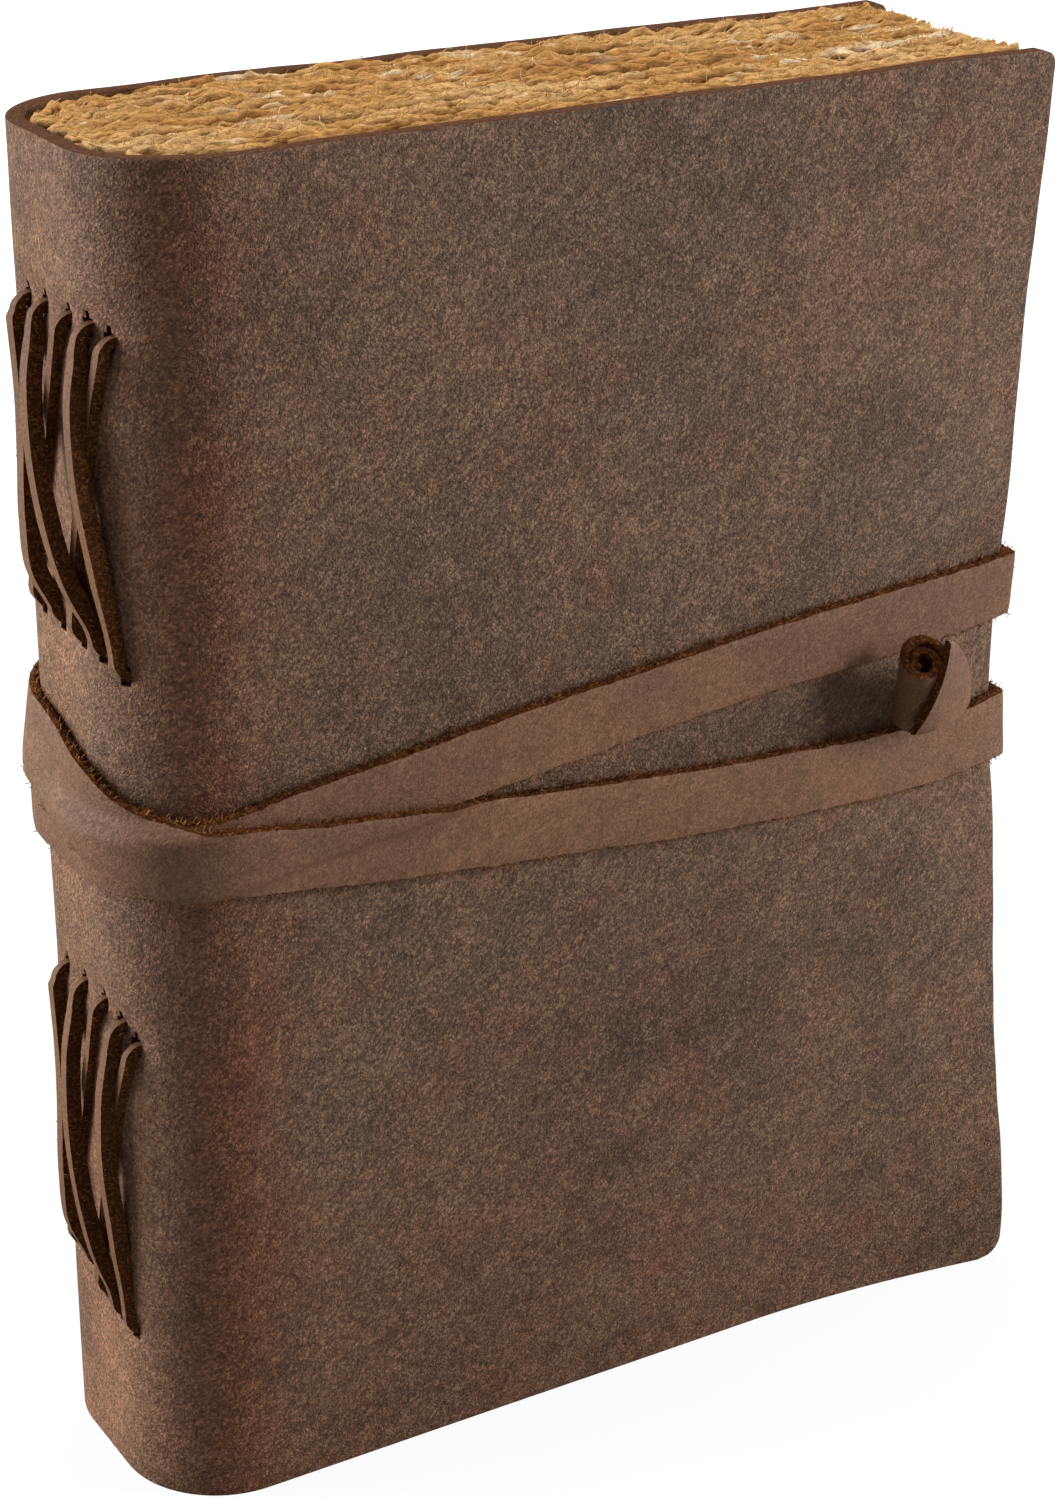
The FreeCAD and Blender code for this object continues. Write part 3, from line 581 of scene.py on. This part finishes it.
# Five gatherings of handmade cotton rag paper, stained with tea. Each is folded sheets, one in
# another, and every sheet keeps the ragged deckle of its mould on three sides.
def rag_paper(name):
    """Matt paper, mottled by the tea, with painted shade in the depth of the block between the
    sheets, and pale at its deckles, partly as a painted highlight.
    """
    material, tree, place = empty_material(name)
    deckle = add(tree, "ShaderNodeAttribute", attribute_name="deckle").outputs["Fac"]
    unturned = (0.0, 0.0, 0.0)
    fibre = blotches(tree, place, 0.6, 3.0, 0.65, 1.1, (unturned, (2.5, 1.0, 1.0)))
    stain = blotches(tree, place, 11.0, 3.0, 0.55, 6.2, (unturned, (2.5, 1.0, 1.0)))
    bleached = blotches(tree, place, 2.6, 2.0, 0.5, 15.5, (unturned, (4.0, 1.0, 1.0)))
    share = add(tree, "ShaderNodeMapRange", {0: stain, 1: 0.3, 2: 0.7})
    page = add(tree, "ShaderNodeValToRGB", {0: share}, ((0.0, "#b08a5c"), (1.0, "#c9a675")))
    # Painted shade on the sheets' sides down in the block, just inside their deckles.
    share = add(tree, "ShaderNodeMapRange", {0: stain, 1: 0.35, 2: 0.65})
    painted_crevice_shade = add(tree, "ShaderNodeMix", {0: share, 6: "#4a2a10", 7: "#6b421b"},
                  data_type="RGBA")
    share = add(tree, "ShaderNodeMapRange", {0: stain, 1: 0.28, 2: 0.72})
    torn = add(tree, "ShaderNodeValToRGB", {0: share},
               ((0.0, "#a87440"), (0.45, "#c59558"), (1.0, "#dcb681")))
    share = add(tree, "ShaderNodeMapRange", {0: bleached, 1: 0.60, 2: 0.68, 4: 0.8})
    torn = add(tree, "ShaderNodeMix", {0: share, 6: torn, 7: "#ecd9b4"}, data_type="RGBA")
    share = add(tree, "ShaderNodeMapRange", {0: deckle, 1: 0.02, 2: 0.35})
    base = add(tree, "ShaderNodeMix", {0: share, 6: page, 7: painted_crevice_shade}, data_type="RGBA")
    # The torn edges are paler, partly as a painted highlight.
    share = add(tree, "ShaderNodeMapRange", {0: deckle, 1: 0.45, 2: 0.9})
    base = add(tree, "ShaderNodeMix", {0: share, 6: base, 7: torn}, data_type="RGBA")
    tone = add(tree, "ShaderNodeMapRange", {0: fibre, 1: 0.32, 2: 0.68, 3: 0.58, 4: 1.36})
    toned = add(tree, "ShaderNodeVectorMath", {0: base, 3: tone}, operation="SCALE")
    bump = add(tree, "ShaderNodeBump", {"Height": fibre, "Strength": 1.0, "Distance": 0.5 * MM})
    surface = add(tree, "ShaderNodeBsdfPrincipled", {
        "Base Color": toned, "Roughness": 0.95, "Specular IOR Level": 0.1, "Normal": bump})
    add(tree, "ShaderNodeOutputMaterial", {"Surface": surface})
    return material


def plain_fibre(name, dark, light):
    """Loose fibre: matt, and each hair a little different in colour."""
    material, tree, place = empty_material(name)
    strands = blotches(tree, place, 0.9, 1.0, 0.5, 8.8)
    share = add(tree, "ShaderNodeMapRange", {0: strands, 1: 0.4, 2: 0.6})
    base = add(tree, "ShaderNodeMix", {0: share, 6: dark, 7: light}, data_type="RGBA")
    surface = add(tree, "ShaderNodeBsdfPrincipled", {
        "Base Color": base, "Roughness": 0.9, "Specular IOR Level": 0.1})
    add(tree, "ShaderNodeOutputMaterial", {"Surface": surface})
    return material


# Tea-stained rag paper is tan and matt. Its fluff is the same cotton, a shade more orange, and a
# few pale threads of undyed cotton were left in the pulp.
paper = rag_paper("tea_stained_rag_paper")
paper_fluff = plain_fibre("rag_paper_fluff", "#9a6a30", "#d0a668")
cotton_thread = plain_fibre("undyed_cotton_thread", "#d8bd8a", "#efe0bb")
fluff_tree = fibre_tree("deckle_fluff", paper_fluff)
thread_tree = fibre_tree("cotton_threads", cotton_thread)

paper_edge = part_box("signature_3")[1].x / MM
paper_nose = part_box("signature_3")[0].x / MM
parallel_x = spine_face + 30.0
sheets_folded = 3                       # folded sheets that are drawn in each gathering
noise.seed_set(17)                      # or noise_vector would start from the clock


def wander(places, pitch, chance):
    """Smooth random values from -1 to 1 along a line, with bends about pitch apart."""
    knots = np.arange(places.min() - pitch, places.max() + 3 * pitch, pitch)
    values = chance.uniform(-1, 1, len(knots))
    k = np.clip(((places - knots[0]) / pitch).astype(int), 0, len(knots) - 2)
    t = (places - knots[k]) / pitch
    t = t * t * (3 - 2 * t)
    return values[k] * (1 - t) + values[k + 1] * t


def deckle_sheet(route, half_thick, chance, fluff=1.0):
    """One sheet, upright along a route in plan, with ragged edges at head, tail and both ends.
    Gives its points, faces and how deckled each point is."""
    route = np.asarray(route, float)
    run = np.concatenate([[0.0], np.cumsum(np.hypot(*np.diff(route, axis=0).T))])
    total = run[-1]
    pitch_s, pitch_z = 0.6, 0.95
    s_line = np.linspace(0, total, max(8, round(total / pitch_s)))
    z_line = np.linspace(0, head, round(head / pitch_z))
    ring = np.concatenate([
        np.stack([s_line[:-1], np.zeros(len(s_line) - 1)], 1),
        np.stack([np.full(len(z_line) - 1, total), z_line[:-1]], 1),
        np.stack([s_line[:0:-1], np.full(len(s_line) - 1, head)], 1),
        np.stack([np.zeros(len(z_line) - 1), z_line[:0:-1]], 1)])
    outward = np.concatenate([
        np.tile([0, -1], (len(s_line) - 1, 1)), np.tile([1, 0], (len(z_line) - 1, 1)),
        np.tile([0, 1], (len(s_line) - 1, 1)), np.tile([-1, 0], (len(z_line) - 1, 1))])
    around = np.concatenate([[0.0], np.cumsum(np.hypot(*np.diff(ring, axis=0).T))])
    torn = (-0.05 + 0.45 * wander(around, 17.0, chance) + 0.4 * wander(around, 5.5, chance)
            + 0.25 * wander(around, 1.7, chance))
    at_tail = outward[:, 1] < 0
    torn = np.where(at_tail, np.minimum(torn, 0.0), torn)
    bead = 0.16 + half_thick * np.clip(
        0.9 + 0.45 * wander(around, 11.0, chance) + 0.4 * wander(around, 3.1, chance), 0.2, 2.0)
    sway = 0.5 * wander(around, 12.0, chance) + 0.34 * wander(around, 4.0, chance)
    profile = ((4.0, 1.0, 0.0), (2.0, 1.0, 0.3), (0.9, 1.2, 0.6), (0.3, 1.0, 0.9),
               (0.0, 0.4, 1.0), (0.0, -0.4, 1.0), (0.3, -1.0, 0.9), (0.9, -1.2, 0.6),
               (2.0, -1.0, 0.3), (4.0, -1.0, 0.0))
    flat, sides, marks = [], [], []
    for inset, side, mark in profile:
        keep = np.clip(1 - inset / 4.0, 0, 1)
        size = np.array([total, head])
        spot = inset + ring * (size - 2 * inset) / size + outward * (torn * keep)[:, None]
        spot[:, 1] = np.maximum(spot[:, 1], 0.0)
        flat.append(spot)
        sides.append(side * (half_thick * (1 - keep) + bead * keep) + sway * keep * fluff)
        marks.append(np.full(len(ring), mark))
    count = len(ring)
    faces = []
    for level in range(len(profile) - 1):
        for k in range(count):
            a, b = level * count + k, level * count + (k + 1) % count
            faces.append((a, b, b + count, a + count))
    inner = flat[0]
    grid_s = np.arange(8.0, total - 6.0, 7.0)
    grid_z = np.arange(8.0, head - 6.0, 9.0)
    inside = np.array([(s, z) for s in grid_s for z in grid_z])
    corners = [Vector(p) for p in np.concatenate([inner, inside])]
    loop = [(k, (k + 1) % count) for k in range(count)]
    cut = geometry.delaunay_2d_cdt(corners, loop, [], 1, 1e-5)
    plain = [tuple(face) for face in cut[2] if len(face) == 3]
    same = [source[0] for source in cut[3]]
    flat = np.concatenate(flat + [inside, inside])
    sides = np.concatenate(sides + [np.full(len(inside), half_thick),
                                    np.full(len(inside), -half_thick)])
    marks = np.concatenate(marks + [np.zeros(2 * len(inside))])
    last_ring = (len(profile) - 1) * count
    body = len(profile) * count
    for face in plain:
        near = [same[v] for v in face]
        front = [v if v < count else body + v - count for v in near]
        back = [v + last_ring if v < count else body + len(inside) + v - count for v in near]
        faces.append(tuple(front[::-1]))
        faces.append(tuple(back))
    ease = np.clip(flat[:, 0], 0, total)
    x = np.interp(ease, run, route[:, 0])
    y = np.interp(ease, run, route[:, 1])
    step = 0.4
    tx = np.interp(ease + step, run, route[:, 0]) - np.interp(ease - step, run, route[:, 0])
    ty = np.interp(ease + step, run, route[:, 1]) - np.interp(ease - step, run, route[:, 1])
    size = np.hypot(tx, ty)
    x = x + np.clip(flat[:, 0] - total, 0, None) * tx / size - ty / size * sides
    y = y + tx / size * sides
    return np.stack([x, y, flat[:, 1]], 1), faces, marks


def face_outwards(made):
    """Turns every face of a closed piece to the outside."""
    work = bmesh.new()
    work.from_mesh(made.data)
    bmesh.ops.recalc_face_normals(work, faces=work.faces)
    work.to_mesh(made.data)
    work.free()


def bound_sheets(name, routes, half_thick, seed, fluff=1.0):
    """Several sheets as one piece, drawn in by the strap, with their fluff."""
    chance = np.random.default_rng(seed)
    points, faces, marks = [], [], []
    for route in routes:
        p, f, m = deckle_sheet(route, half_thick, chance, fluff)
        faces += [tuple(v + sum(map(len, points)) for v in face) for face in f]
        points.append(p)
        marks.append(m)
    points = np.concatenate(points)
    marks = np.concatenate(marks)
    for k in np.nonzero(marks > 0.2)[0]:
        spot = Vector(points[k])
        push = noise.noise_vector(spot / 3.0) * 0.6 + noise.noise_vector(spot / 1.0) * 0.34
        points[k] += np.array(push) * marks[k] * (0.4, fluff, 1.0)
    points[:, 2] = np.clip(points[:, 2], 0.0, head + 1.4)
    points[:, 1] += drawn_in(points[:, 0], points[:, 1], points[:, 2])
    made = piece(name, points, faces, (paper,), None, {"deckle": marks, "raw": marks > 0.9})
    face_outwards(made)
    return made


def gathering_routes(index):
    """Plan lines of a gathering's folded sheets, from one fore edge round the fold to the other."""
    low, high = (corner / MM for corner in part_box(f"signature_{index}"))
    half = 3.3
    centre = 2 * half * (3 - index)
    fold_half = 2.4
    fold = -2.5 + 5.2 * (3 - index)
    nose = low.x + fold_half
    inner_radius = fold_radius - hide_thick
    found = []
    for k in range(sheets_folded):
        share = (k + 0.5) / sheets_folded

        def side(way):
            line = []
            for x in np.concatenate([[paper_edge, paper_edge - 30, -20, -32],
                                     np.arange(-38, nose + 1, -2.0)]):
                t = np.clip((x - nose) / 14.0, 0, 1)
                near = 1 - (1 - t) ** 2.2
                y = (fold + way * fold_half * share) * (1 - near) + near * (
                    centre + way * half * share)
                past = np.clip(fold_line - x, 0, inner_radius - 0.1)
                room = flat_half + math.sqrt(inner_radius ** 2 - past ** 2)
                margin = 0.8 + 0.9 * (1 - share)
                line.append((x, max(-room + margin, min(room - margin, y))))
            return line

        arc = [(nose - fold_half * share * math.sin(a), fold + fold_half * share * math.cos(a))
               for a in np.linspace(0, math.pi, 9)]
        found.append(side(1.0) + arc + side(-1.0)[::-1])
    return found


for index in range(1, 6):
    block = bound_sheets(f"gathering_{index}", gathering_routes(index), 0.36, 40 + index)
    grow_fibres(block, fluff_tree, index, per_square_mm=2.4, length=0.6, radius=0.05, lean=1.4)
    grow_fibres(block, thread_tree, 20 + index, per_square_mm=0.05, length=1.6, radius=0.05,
                lean=3.0)
    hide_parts(f"signature_{index}")
    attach(block, "text_block")

# Two loose leaves of the same paper lie inside each cover and turn with it.
# Their roots stop short of the fold line, clear of the leather that doubles over there.
for side in ("front", "back"):
    for order, root in (("inner", 5.4), ("outer", 9.0)):
        low, high = (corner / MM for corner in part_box(f"{side}_{order}_leaf"))
        y = (low.y + high.y) / 2 * 0.98
        route = [(low.x + root, y), (parallel_x, y), (high.x, y)]
        leaf = bound_sheets(f"{side}_{order}_page", [route], (high.y - low.y) / 2,
                            len(side) * 10 + len(order), 0.5)
        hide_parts(f"{side}_{order}_leaf")
        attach(leaf, f"{side}_leaf_{order}")


# Strips of leather are swept with their grain side out. A strip's section is a ring of places
# across it: the grain face, one raw edge, the flesh face and the other raw edge.
def strip_section(across, edge_rings):
    """Ring of (across from -1 to 1, depth from -1 inside to 1 outside, raw share)."""
    face = [(-1 + 2 * k / (across - 1)) for k in range(across)]
    ring = [(v, 1.0, 0.0) for v in face]
    ring += [(1.0 + 0.04 * math.sin(math.pi * k / (edge_rings + 1)),
              1 - 2 * k / (edge_rings + 1), 1.0) for k in range(1, edge_rings + 1)]
    ring += [(v, -1.0, 0.0) for v in reversed(face)]
    ring += [(-1.0 - 0.04 * math.sin(math.pi * k / (edge_rings + 1)),
              -1 + 2 * k / (edge_rings + 1), 1.0) for k in range(1, edge_rings + 1)]
    return ring


def strip_mesh(name, rows, section, materials):
    """Skins rows of points, each one section round the strip, and closes both ends."""
    rows = np.asarray(rows, float)
    count, around = rows.shape[:2]
    faces, kinds = [], []
    for i in range(count - 1):
        for k in range(around):
            a, b = i * around + k, i * around + (k + 1) % around
            faces.append((a, b, b + around, a + around))
            here, there = section[k], section[(k + 1) % around]
            if here[2] or there[2]:
                kinds.append(1)
            else:
                kinds.append(0 if here[1] > 0 else 2)
    faces.append(tuple(range(around))[::-1])
    faces.append(tuple(range((count - 1) * around, count * around)))
    kinds += [1, 1]
    raw = np.tile([place[2] for place in section], count)
    made = piece(name, rows.reshape(-1, 3), faces, materials, kinds, {"raw": raw})
    face_outwards(made)
    keep_creases(made, 50.0)
    return made


# Two thongs sew the gatherings on. They are square laces cut from lighter, tan-faced leather,
# and their dark cut sides are furry. Two of the five stitches in a row pass under the others.
lace_grain = pull_up_leather(       # close, even tan grain, with hardly a pebble on it
    "tan_lace_grain", ((0.0, "#664631"), (0.5, "#7a563c"), (1.0, "#86603f")),
    patches=0.15, pit=0.25, crown=0.2, pebble=0.35, relief=0.05, rough=0.6)
# The cut sides are nearly black in their hollows, and orange where a fibre stands in the light.
lace_cut = raw_cut("dark_lace_side", "#281407", "#563216", "#a06a34")
lace_fibre = plain_fibre("lace_fibre", "#4a2a12", "#b58a58")
lace_fur = fibre_tree("lace_fur", lace_fibre)
sewing_order = (1, 2, 4, 5, 3, 1)

# How high each stitch rides along its length, by the gathering that it starts from. A stitch
# climbs where it crosses another one.
lace_rise = {1: ((0, 0.4, 0.7, 0.86, 1), (0.2, 0.4, 1.0, 1.0, 0.1)),
             2: ((0, 0.18, 0.8, 1), (0.1, 1.0, 1.0, 0.0)),
             4: ((0, 0.2, 0.4, 0.7, 1), (0.1, 0.8, 1.0, 0.5, 0.0)),
             5: ((0, 1), (0.0, 0.0)), 3: ((0, 1), (0.0, 0.0))}


def lace_line(heads, tails):
    """The thong's middle line: up inside a fold, out at the head, down the spine, in again."""
    head_bend, tail_bend = 1.6, 2.6
    stand = 0.5
    inside_x = paper_nose + 5.0
    points = []

    def face_x(y):
        return on_book(u_across(y), middle, 0.0)[0]

    def arc(centre_x, centre_z, y, bend, first, last):
        for a in np.radians(np.linspace(first, last, 7)):
            points.append((centre_x + bend * math.cos(a), y, centre_z + bend * math.sin(a)))

    start_y, start_z = heads[sewing_order[0] - 1]
    points.append((inside_x, start_y, start_z - 12.0))
    for here, there in zip(sewing_order[:-1], sewing_order[1:]):
        (y0, z0), (y1, z1) = heads[here - 1], tails[there - 1]
        arc(inside_x - head_bend, z0 - head_bend, y0, head_bend, 0, 90)
        arc(face_x(y0) - stand + head_bend, z0 - head_bend, y0, head_bend, 90, 180)
        rise_at, rise = lace_rise[here]
        for share in np.linspace(0, 1, 44)[1:-1]:
            y = y0 + (y1 - y0) * share
            z = z0 - head_bend + (z1 - z0 + head_bend + tail_bend) * share
            lift = flowing(rise_at, rise, share) * 1.75
            points.append((face_x(y) - stand - lift, y, z))
        arc(face_x(y1) - stand + tail_bend, z1 + tail_bend, y1, tail_bend, 180, 270)
        arc(inside_x - head_bend, z1 + head_bend, y1, head_bend, 270, 360)
    points.append((inside_x, points[-1][1], points[-1][2] + 9.0))
    return np.array(points)


def lace(row, heads, tails, seed):
    line = lace_line(heads, tails)
    chance = np.random.default_rng(seed)
    section = strip_section(5, 3)
    along = np.gradient(line, axis=0)
    along /= np.linalg.norm(along, axis=1)[:, None]
    across = np.array([0.0, 1.0, 0.0]) - along * along[:, 1:2]
    across /= np.linalg.norm(across, axis=1)[:, None]
    outward = np.cross(across, along)
    run = np.concatenate([[0], np.cumsum(np.linalg.norm(np.diff(line, axis=0), axis=1))])
    wide = lace_wide[row] * (1 + 0.08 * wander(run, 4.0, chance))
    from_face = line[:, 0] - np.array([on_book(u_across(y), middle, 0.0)[0]
                                       for y in np.clip(line[:, 1], back_face * -1, back_face)])
    pinch = 0.58 + 0.42 * np.clip((-from_face - 0.1) / 1.1, 0, 1)
    rows = []
    for point, side, out, width, tight in zip(line, across, outward, wide, pinch):
        rows.append([point + side * v * width * tight / 2 + out * d * lace_thick * tight / 2
                     for v, d, _ in section])
    made = strip_mesh(f"{row}_lace", rows, section, (lace_grain, lace_cut, lace_cut))
    grow_fibres(made, lace_fur, seed, per_square_mm=4.5, length=0.45, radius=0.035, lean=1.0)
    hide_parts(f"{row}_thong")
    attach(made, "text_block")


for count, (row, (heads, tails)) in enumerate(lace_slits.items()):
    lace(row, heads, tails, 60 + count)

# The strap is one long strip of smooth waxed leather. It starts at a slit in the back cover, goes
# twice round the book, crosses over its own first turn on the spine, and its end is tucked in.
strap_grain = pull_up_leather(      # waxed smooth, a warm brown between the cover and the laces
    "waxed_strap_grain", ((0.0, "#73513d"), (0.5, "#835f48"), (1.0, "#91694d")),
    patches=0.25, pit=0.30, crown=0.25, pebble=0.34, relief=0.07, rough=0.55)
# Its cut edge is dark with orange-brown fur, which draws a rough line along the strap.
strap_cut = raw_cut("furry_strap_edge", "#1d0e06", "#50290f", "#a5672c")
strap_fibre = plain_fibre("strap_fibre", "#5a2f12", "#c28546")
strap_fur = fibre_tree("strap_fur", strap_fibre)
strap_thick = 1.8
seat_gap = 0.08
slit_u = -69.5                          # where the first end starts down into the back cover
slit_depth = 3.4
strap_wide = 8.9

first_turn = ((-74, 96.5), (-40, 94.2), (-28, 93.4), (-10, 92.6), (0, 92.4), (15, 92.6),
              (22, 93.4), (28, 94.5), (34, 95.5), (48, 97.1), (62, 99.0), (77, 100.7),
              (92, 102.3), (105, 103.6), (118, 104.1), (edge_u, 103.6), (wrap_u, 103.6))
second_turn = ((-wrap_u, 103.6), (-edge_u, 103.7), (-120, 104.2), (-80, 104.3), (-50, 103.6),
               (-28, 102.8), (-14, 102.3), (-6, 101.5), (-2.9, 100.8), (1.5, 99.3), (7.5, 97.7),
               (10.9, 96.3), (14, 95.2), (18.4, 94.0), (22, 93.2), (28, 92.6), (34, 91.7),
               (48, 90.0), (62, 88.4), (77, 87.0), (92, 85.6), (108, 84.7), (122, 83.5), (138, 82.5),
               (edge_u, 82.6), (wrap_u, 82.8))
tail_end = ((-wrap_u, 82.8), (-edge_u, 83.2), (-130, 87.5), (-118, 93.5), (-100, 102.5),
            (-84, 110.0), (-78, 112.8))


def band_width(u):
    """The strap is pulled flat and a little wide where it comes on to the spine."""
    return strap_wide + flowing((-30, -12, 0, 6, 10, 14, 20), (0, 0.6, 1.3, 0.8, 0.2, -0.2, 0.1), u)


def covered(u, z, line):
    """From 0 to 1, how much a place lies over an earlier stretch of the strap."""
    places = np.array(line, float)
    centre = flowing(places[:, 0], places[:, 1], u)
    step = 0.5
    slope = (flowing(places[:, 0], places[:, 1], u + step)
             - flowing(places[:, 0], places[:, 1], u - step)) / (2 * step)
    inside = strap_wide / 2 - np.abs(z - centre) / np.sqrt(1 + slope ** 2)
    within = (u > places[0, 0]) & (u < places[-1, 0])
    t = np.clip((inside + 1.4) / 1.9, 0, 1)
    return np.where(within, t * t * (3 - 2 * t), 0.0)


def strap_stretch(name, runs, seed, body_a, body_b=None):
    """A piece of the strap: runs of (line, first u, last u, what lies under it)."""
    across = 13                         # points across the grain face
    section = strip_section(across, 4)
    v = np.array([place[0] for place in section])
    depth = np.array([place[1] for place in section])
    parts = []
    for line, first, last, below in runs:
        places = np.array(line, float)
        centre_u = np.linspace(first, last, max(4, round(abs(last - first) / 0.5)))
        centre_z = flowing(places[:, 0], places[:, 1], centre_u)
        du = np.gradient(centre_u)
        dz = np.gradient(centre_z)
        size = np.hypot(du, dz)
        steady = np.abs(centre_u) > edge_u
        lean = np.where(steady, 0.0, dz / size * np.sign(du))
        width = band_width(centre_u) if line is second_turn else strap_wide + 0 * centre_u
        ragged = np.array([0.14 * noise.noise(Vector((value / 1.1, len(line), 0.5)))
                           + 0.2 * noise.noise(Vector((value / 6.0, len(line), 4.5)))
                           for value in centre_u])
        half = (width / 2 + ragged)[:, None] * v[None, :]
        u = centre_u[:, None] - half * lean[:, None]
        z = centre_z[:, None] + half * np.sqrt(1 - lean ** 2)[:, None]
        thick = strap_thick + 0 * u
        if line is second_turn:         # pulled thin round the spine
            thick = strap_thick - flowing((-24, -12, 10, 20), (0, 0.5, 0.5, 0), u)
        resting = sum((covered(u, z, other) for other in below), 0 * u)
        if line is second_turn:         # too stiff on the spine to follow the step under it
            upper, lower = resting[:, across - 1:across], resting[:, :1]
            straight = lower + (upper - lower) * (v[None, :] + 1) / 2
            stiff = np.clip((6 - u) / 10, 0, 1) * np.clip((u + 60) / 20, 0, 1)
            resting = resting + (straight - resting) * stiff
        lift = seat_gap + thick / 2 + (strap_thick + 0.05) * resting
        if line is first_turn:          # its end goes down into a slit in the back cover
            lift = lift - slit_depth * np.clip((slit_u - u) / 4.0, 0, 1) ** 1.5
        if line is second_turn:         # it bridges the crossing, a little off the spine
            lift = lift + flowing((-12, -4, 4, 14, 24), (0, 0.25, 0.6, 0.45, 0), u)
        rounded = 0.12 * (1 - np.abs(v) ** 6)[None, :] - 0.12
        lift = lift + depth[None, :] * thick / 2 + rounded * (depth > 0)[None, :]
        torn = np.array([[noise.noise(Vector((at / 0.7, ring * 0.9, len(line) + 0.3)))
                          if place[2] else 0.0 for ring, place in enumerate(section)]
                         for at in centre_u])
        z = z + 0.34 * torn * np.sign(v)[None, :]
        lift = lift + 0.15 * torn
        parts.append(strip_mesh(f"{name}_run", on_book(u, z, lift), section,
                                (strap_grain, strap_cut, strap_cut)))
    made = parts[0]
    if len(parts) > 1:
        with bpy.context.temp_override(active_object=made, selected_editable_objects=parts):
            bpy.ops.object.join()
    made.name = name
    made.data.name = name
    grow_fibres(made, strap_fur, seed, per_square_mm=4.5, length=0.8, radius=0.06, lean=1.0)
    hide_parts("wrap_strap")
    if body_b:
        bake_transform(made)
    else:
        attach(made, body_a)
    return made


strap_join = -22.0                      # out of sight, where the spine turns to the back
strap_stretch("strap_front", [
    (first_turn, strap_join, edge_u, ()),
    (second_turn, strap_join, edge_u, (first_turn,))], 71, "text_block", "front_board")
strap_stretch("strap_back", [
    (first_turn, -74.0, strap_join, ()),
    (second_turn, -edge_u, strap_join, (first_turn, tail_end)),
    (tail_end, -edge_u, -78.0, ())], 72, "text_block", "back_board")
strap_edge_front = strap_stretch("strap_fore_edge_front", [
    (first_turn, edge_u, wrap_u, ()),
    (second_turn, edge_u, wrap_u, ())], 73, "front_board")
strap_edge_back = strap_stretch("strap_fore_edge_back", [
    (second_turn, -wrap_u, -edge_u, ()),
    (tail_end, -wrap_u, -edge_u, ())], 74, "back_board")
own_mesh(strap_edge_front)
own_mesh(strap_edge_back)

# The toggle is a scrap of the same leather, rolled up tight so that its cut ends show the spiral.
# Its neck lies on the cover, and goes through a slit to hold it.
roll_outer = 3.7
roll_hide = 1.2
roll_top = Vector((43.4, -27.2, 101.3))
roll_foot = Vector((46.3, -22.5, 90.5))
roll_length = (roll_top - roll_foot).length
roll_axis = (roll_top - roll_foot).normalized()
roll_side = Vector((1.0, 0.0, 0.0))
roll_side = (roll_side - roll_axis * roll_side.dot(roll_axis)).normalized()
roll_front = roll_side.cross(roll_axis)


def rolled(name):
    chance = np.random.default_rng(81)
    section = strip_section(15, 4)
    turns = 1.65
    steps = 100
    end_angle = math.radians(-15.0)     # the roll's outer end, under the flap
    slope = 1.3                         # its end face is cut a little aslant, higher behind
    rows = []
    wobble = wander(np.linspace(0, 20, steps), 3.0, chance)
    for k in range(steps):
        share = k / (steps - 1)
        angle = end_angle + turns * 2 * math.pi * (1 - share)
        radius = roll_outer - roll_hide / 2 - (roll_hide + 0.06) * turns * (1 - share)
        slip = 0.5 * (1 - share) + 0.1 * wobble[k]
        row = []
        for v, depth, _ in section:
            ray = roll_side * math.cos(angle) + roll_front * -math.sin(angle)
            along = roll_length / 2 * (1 + v) - slip * max(v, 0) + slip * max(-v, 0)
            along -= slope * max(v, 0) * ray.dot(roll_front) * radius / roll_outer
            row.append(roll_foot + roll_axis * along + ray * (radius + depth * roll_hide / 2))
        rows.append([tuple(p) for p in row])
    return strip_mesh(name, rows, section, (strap_grain, strap_cut, strap_cut))


def toggle_flap(name):
    """The other end of the scrap. It comes out of the cover and laps over the roll."""
    section = strip_section(11, 4)
    thick = 1.05
    top = np.array([(45.3, -29.8, 104.1), (47.1, -28.6, 103.3), (49.3, -27.0, 101.6),
                    (52.2, -24.5, 98.8), (54.9, -22.0, 95.8), (56.9, -20.0, 92.7),
                    (58.0, -18.3, 90.2), (59.5, -15.5, 87.8)])
    low = np.array([(42.7, -26.6, 90.6), (45.3, -26.0, 90.1), (48.1, -24.8, 89.6),
                    (51.1, -23.2, 89.1), (54.0, -21.4, 88.7), (56.1, -19.8, 88.4),
                    (58.1, -18.0, 88.1), (59.7, -15.5, 87.5)])
    places = np.arange(len(top))
    fine = np.linspace(0, len(top) - 1, 44)
    top = np.stack([flowing(places, top[:, k], fine) for k in range(3)], 1)
    low = np.stack([flowing(places, low[:, k], fine) for k in range(3)], 1)
    way = np.gradient((top + low) / 2, axis=0)
    rise = top - low
    out = np.cross(way, rise)
    out /= np.linalg.norm(out, axis=1)[:, None]
    rows = []
    for k, (a, b, o) in enumerate(zip(low, top, out)):
        bulge = 0.3 + 0.7 * math.exp(-(k / 9) ** 2)
        rows.append([a + (b - a) * (v + 1) / 2 + o * (depth * thick / 2 + bulge * (1 - v * v))
                     for v, depth, _ in section])
    made = strip_mesh(name, rows, section, (strap_grain, strap_grain, strap_cut))
    start_cap = -2                      # strip_mesh closes its start, and then its end
    made.data.polygons[start_cap].material_index = 2        # the cut end is dark
    return made


roll = rolled("toggle_roll")
neck = toggle_flap("toggle_flap")
with bpy.context.temp_override(active_object=roll, selected_editable_objects=[roll, neck]):
    bpy.ops.object.join()
grow_fibres(roll, strap_fur, 83, per_square_mm=2.0, length=0.45, radius=0.03, lean=0.9)
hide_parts("toggle")
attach(roll, "front_board")
